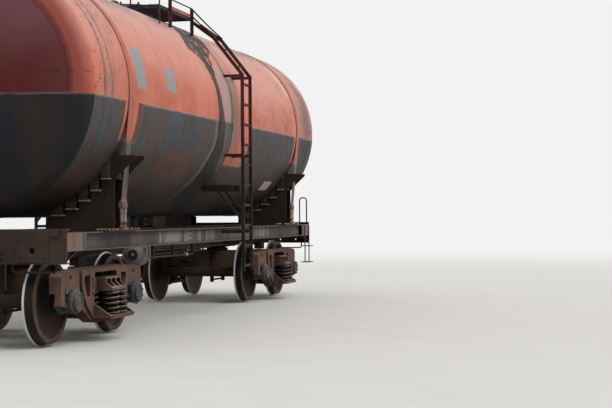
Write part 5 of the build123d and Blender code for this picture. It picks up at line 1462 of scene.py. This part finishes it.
def makeChains(look):
    first, last = np.array(chainEnds)
    share = (np.arange(look["links"]) + 0.5) / look["links"]
    middles = first + (last - first) * share[:, None]
    middles[:, 2] -= look["sag"] * np.sin(np.pi * share)
    directions = np.gradient(middles, axis=0)
    turn = np.linspace(0, 2 * np.pi, look["steps"], endpoint=False)[:, None]
    links = []
    for number, (middle, direction) in enumerate(zip(middles, directions)):
        along, side, rise = crossFrame(direction)
        across, up = (side, rise) if number % 2 else (rise, side)
        path = middle + look["halfLength"] * np.cos(turn) * along + look["halfWidth"] * np.sin(turn) * across
        links.append(tube(path, look["wire"], sides=5, up=up, closed=True))
    chain = joined(links)
    turned = chain[0] * [-1, -1, 1], chain[1]
    makePiece("couplerChains", [chain, turned], "ladder_paint", "car", sharp=60)


makeBrakeTrim(brakeSetting)
makeSillTrim(sillTrimSetting)
makeChains(chainSetting)
print("brake and coupler trim made")


# Floor, light and background

studioSetting = {
    "floorColour": "dcdad6", "darker": 0.97, "bounceColour": "6e6a64", "background": "f2f2f2", "half": 60.0,
    "fadeStart": 14.0, "fadeEnd": 34.0, "skyStrength": 0.72, "sunStrength": 1.35, "sunSpread": 40,
    "sunTurn": (42, -18, 0),
}


# 1 for what the camera sees straight, in a mirror or through glass.
def seenRays(tree):
    paths = addNode(tree, "LightPath").outputs
    return largest(paths["Is Camera Ray"], paths["Is Glossy Ray"], paths["Is Transmission Ray"])


def makeFloor(look):
    reach = look["half"]
    mesh = bpy.data.meshes.new("floor")
    corners = [(-reach, -reach, 0), (reach, -reach, 0), (reach, reach, 0), (-reach, reach, 0)]
    mesh.from_pydata(corners, [], [(0, 1, 2, 3)])
    floor = bpy.data.objects.new("floor", mesh)
    scene.collection.objects.link(floor)
    material, tree, shader = startFinish("paleFloor")
    where = position(tree)
    tone = pattern(where, "floor")
    pale = paint(look["floorColour"])
    colour = mixColour(tone, pale, [look["darker"] * part for part in pale])
    tree.links.new(colour, shader.inputs["Base Color"])
    shader.inputs["Roughness"].default_value = 0.9
    # What the floor throws back up is dimmer than it looks, so that the underside stays dark.
    dim = addNode(tree, "BsdfDiffuse", {"Color": paint(look["bounceColour"])}).outputs[0]
    # Far out the floor turns into the background, for the camera and for what mirrors it.
    farOut = fade(lengthOf(stretched(where, 1.0, 1.0, 0.0)), look["fadeStart"], look["fadeEnd"])
    glow = addNode(tree, "Emission", {"Color": paint(look["background"]), "Strength": 1.0}).outputs[0]
    seen = seenRays(tree)
    share = maths("MULTIPLY", farOut, seen)
    near = addNode(tree, "MixShader", {0: seen, 1: dim, 2: shader.outputs[0]}).outputs[0]
    both = addNode(tree, "MixShader", {0: share, 1: near, 2: glow}).outputs[0]
    tree.links.new(both, tree.nodes["Material Output"].inputs["Surface"])
    mesh.materials.append(material)


def makeLight(look):
    world = bpy.data.worlds.new("paleSky")
    world.use_nodes = True
    scene.world = world
    tree = world.node_tree
    seen = seenRays(tree)
    sky = {"Color": (1.0, 1.0, 1.0, 1.0), "Strength": look["skyStrength"]}
    lit = addNode(tree, "Background", sky).outputs[0]
    plain = addNode(tree, "Background", {"Color": paint(look["background"]), "Strength": 1.0}).outputs[0]
    both = addNode(tree, "MixShader", {0: seen, 1: lit, 2: plain}).outputs[0]
    tree.links.new(both, tree.nodes["World Output"].inputs["Surface"])
    lamp = bpy.data.lights.new("softSun", "SUN")
    lamp.energy = look["sunStrength"]
    lamp.angle = math.radians(look["sunSpread"])
    sun = bpy.data.objects.new("softSun", lamp)
    sun.rotation_euler = np.radians(look["sunTurn"])
    scene.collection.objects.link(sun)


makeFloor(studioSetting)
makeLight(studioSetting)
print("floor and light made")
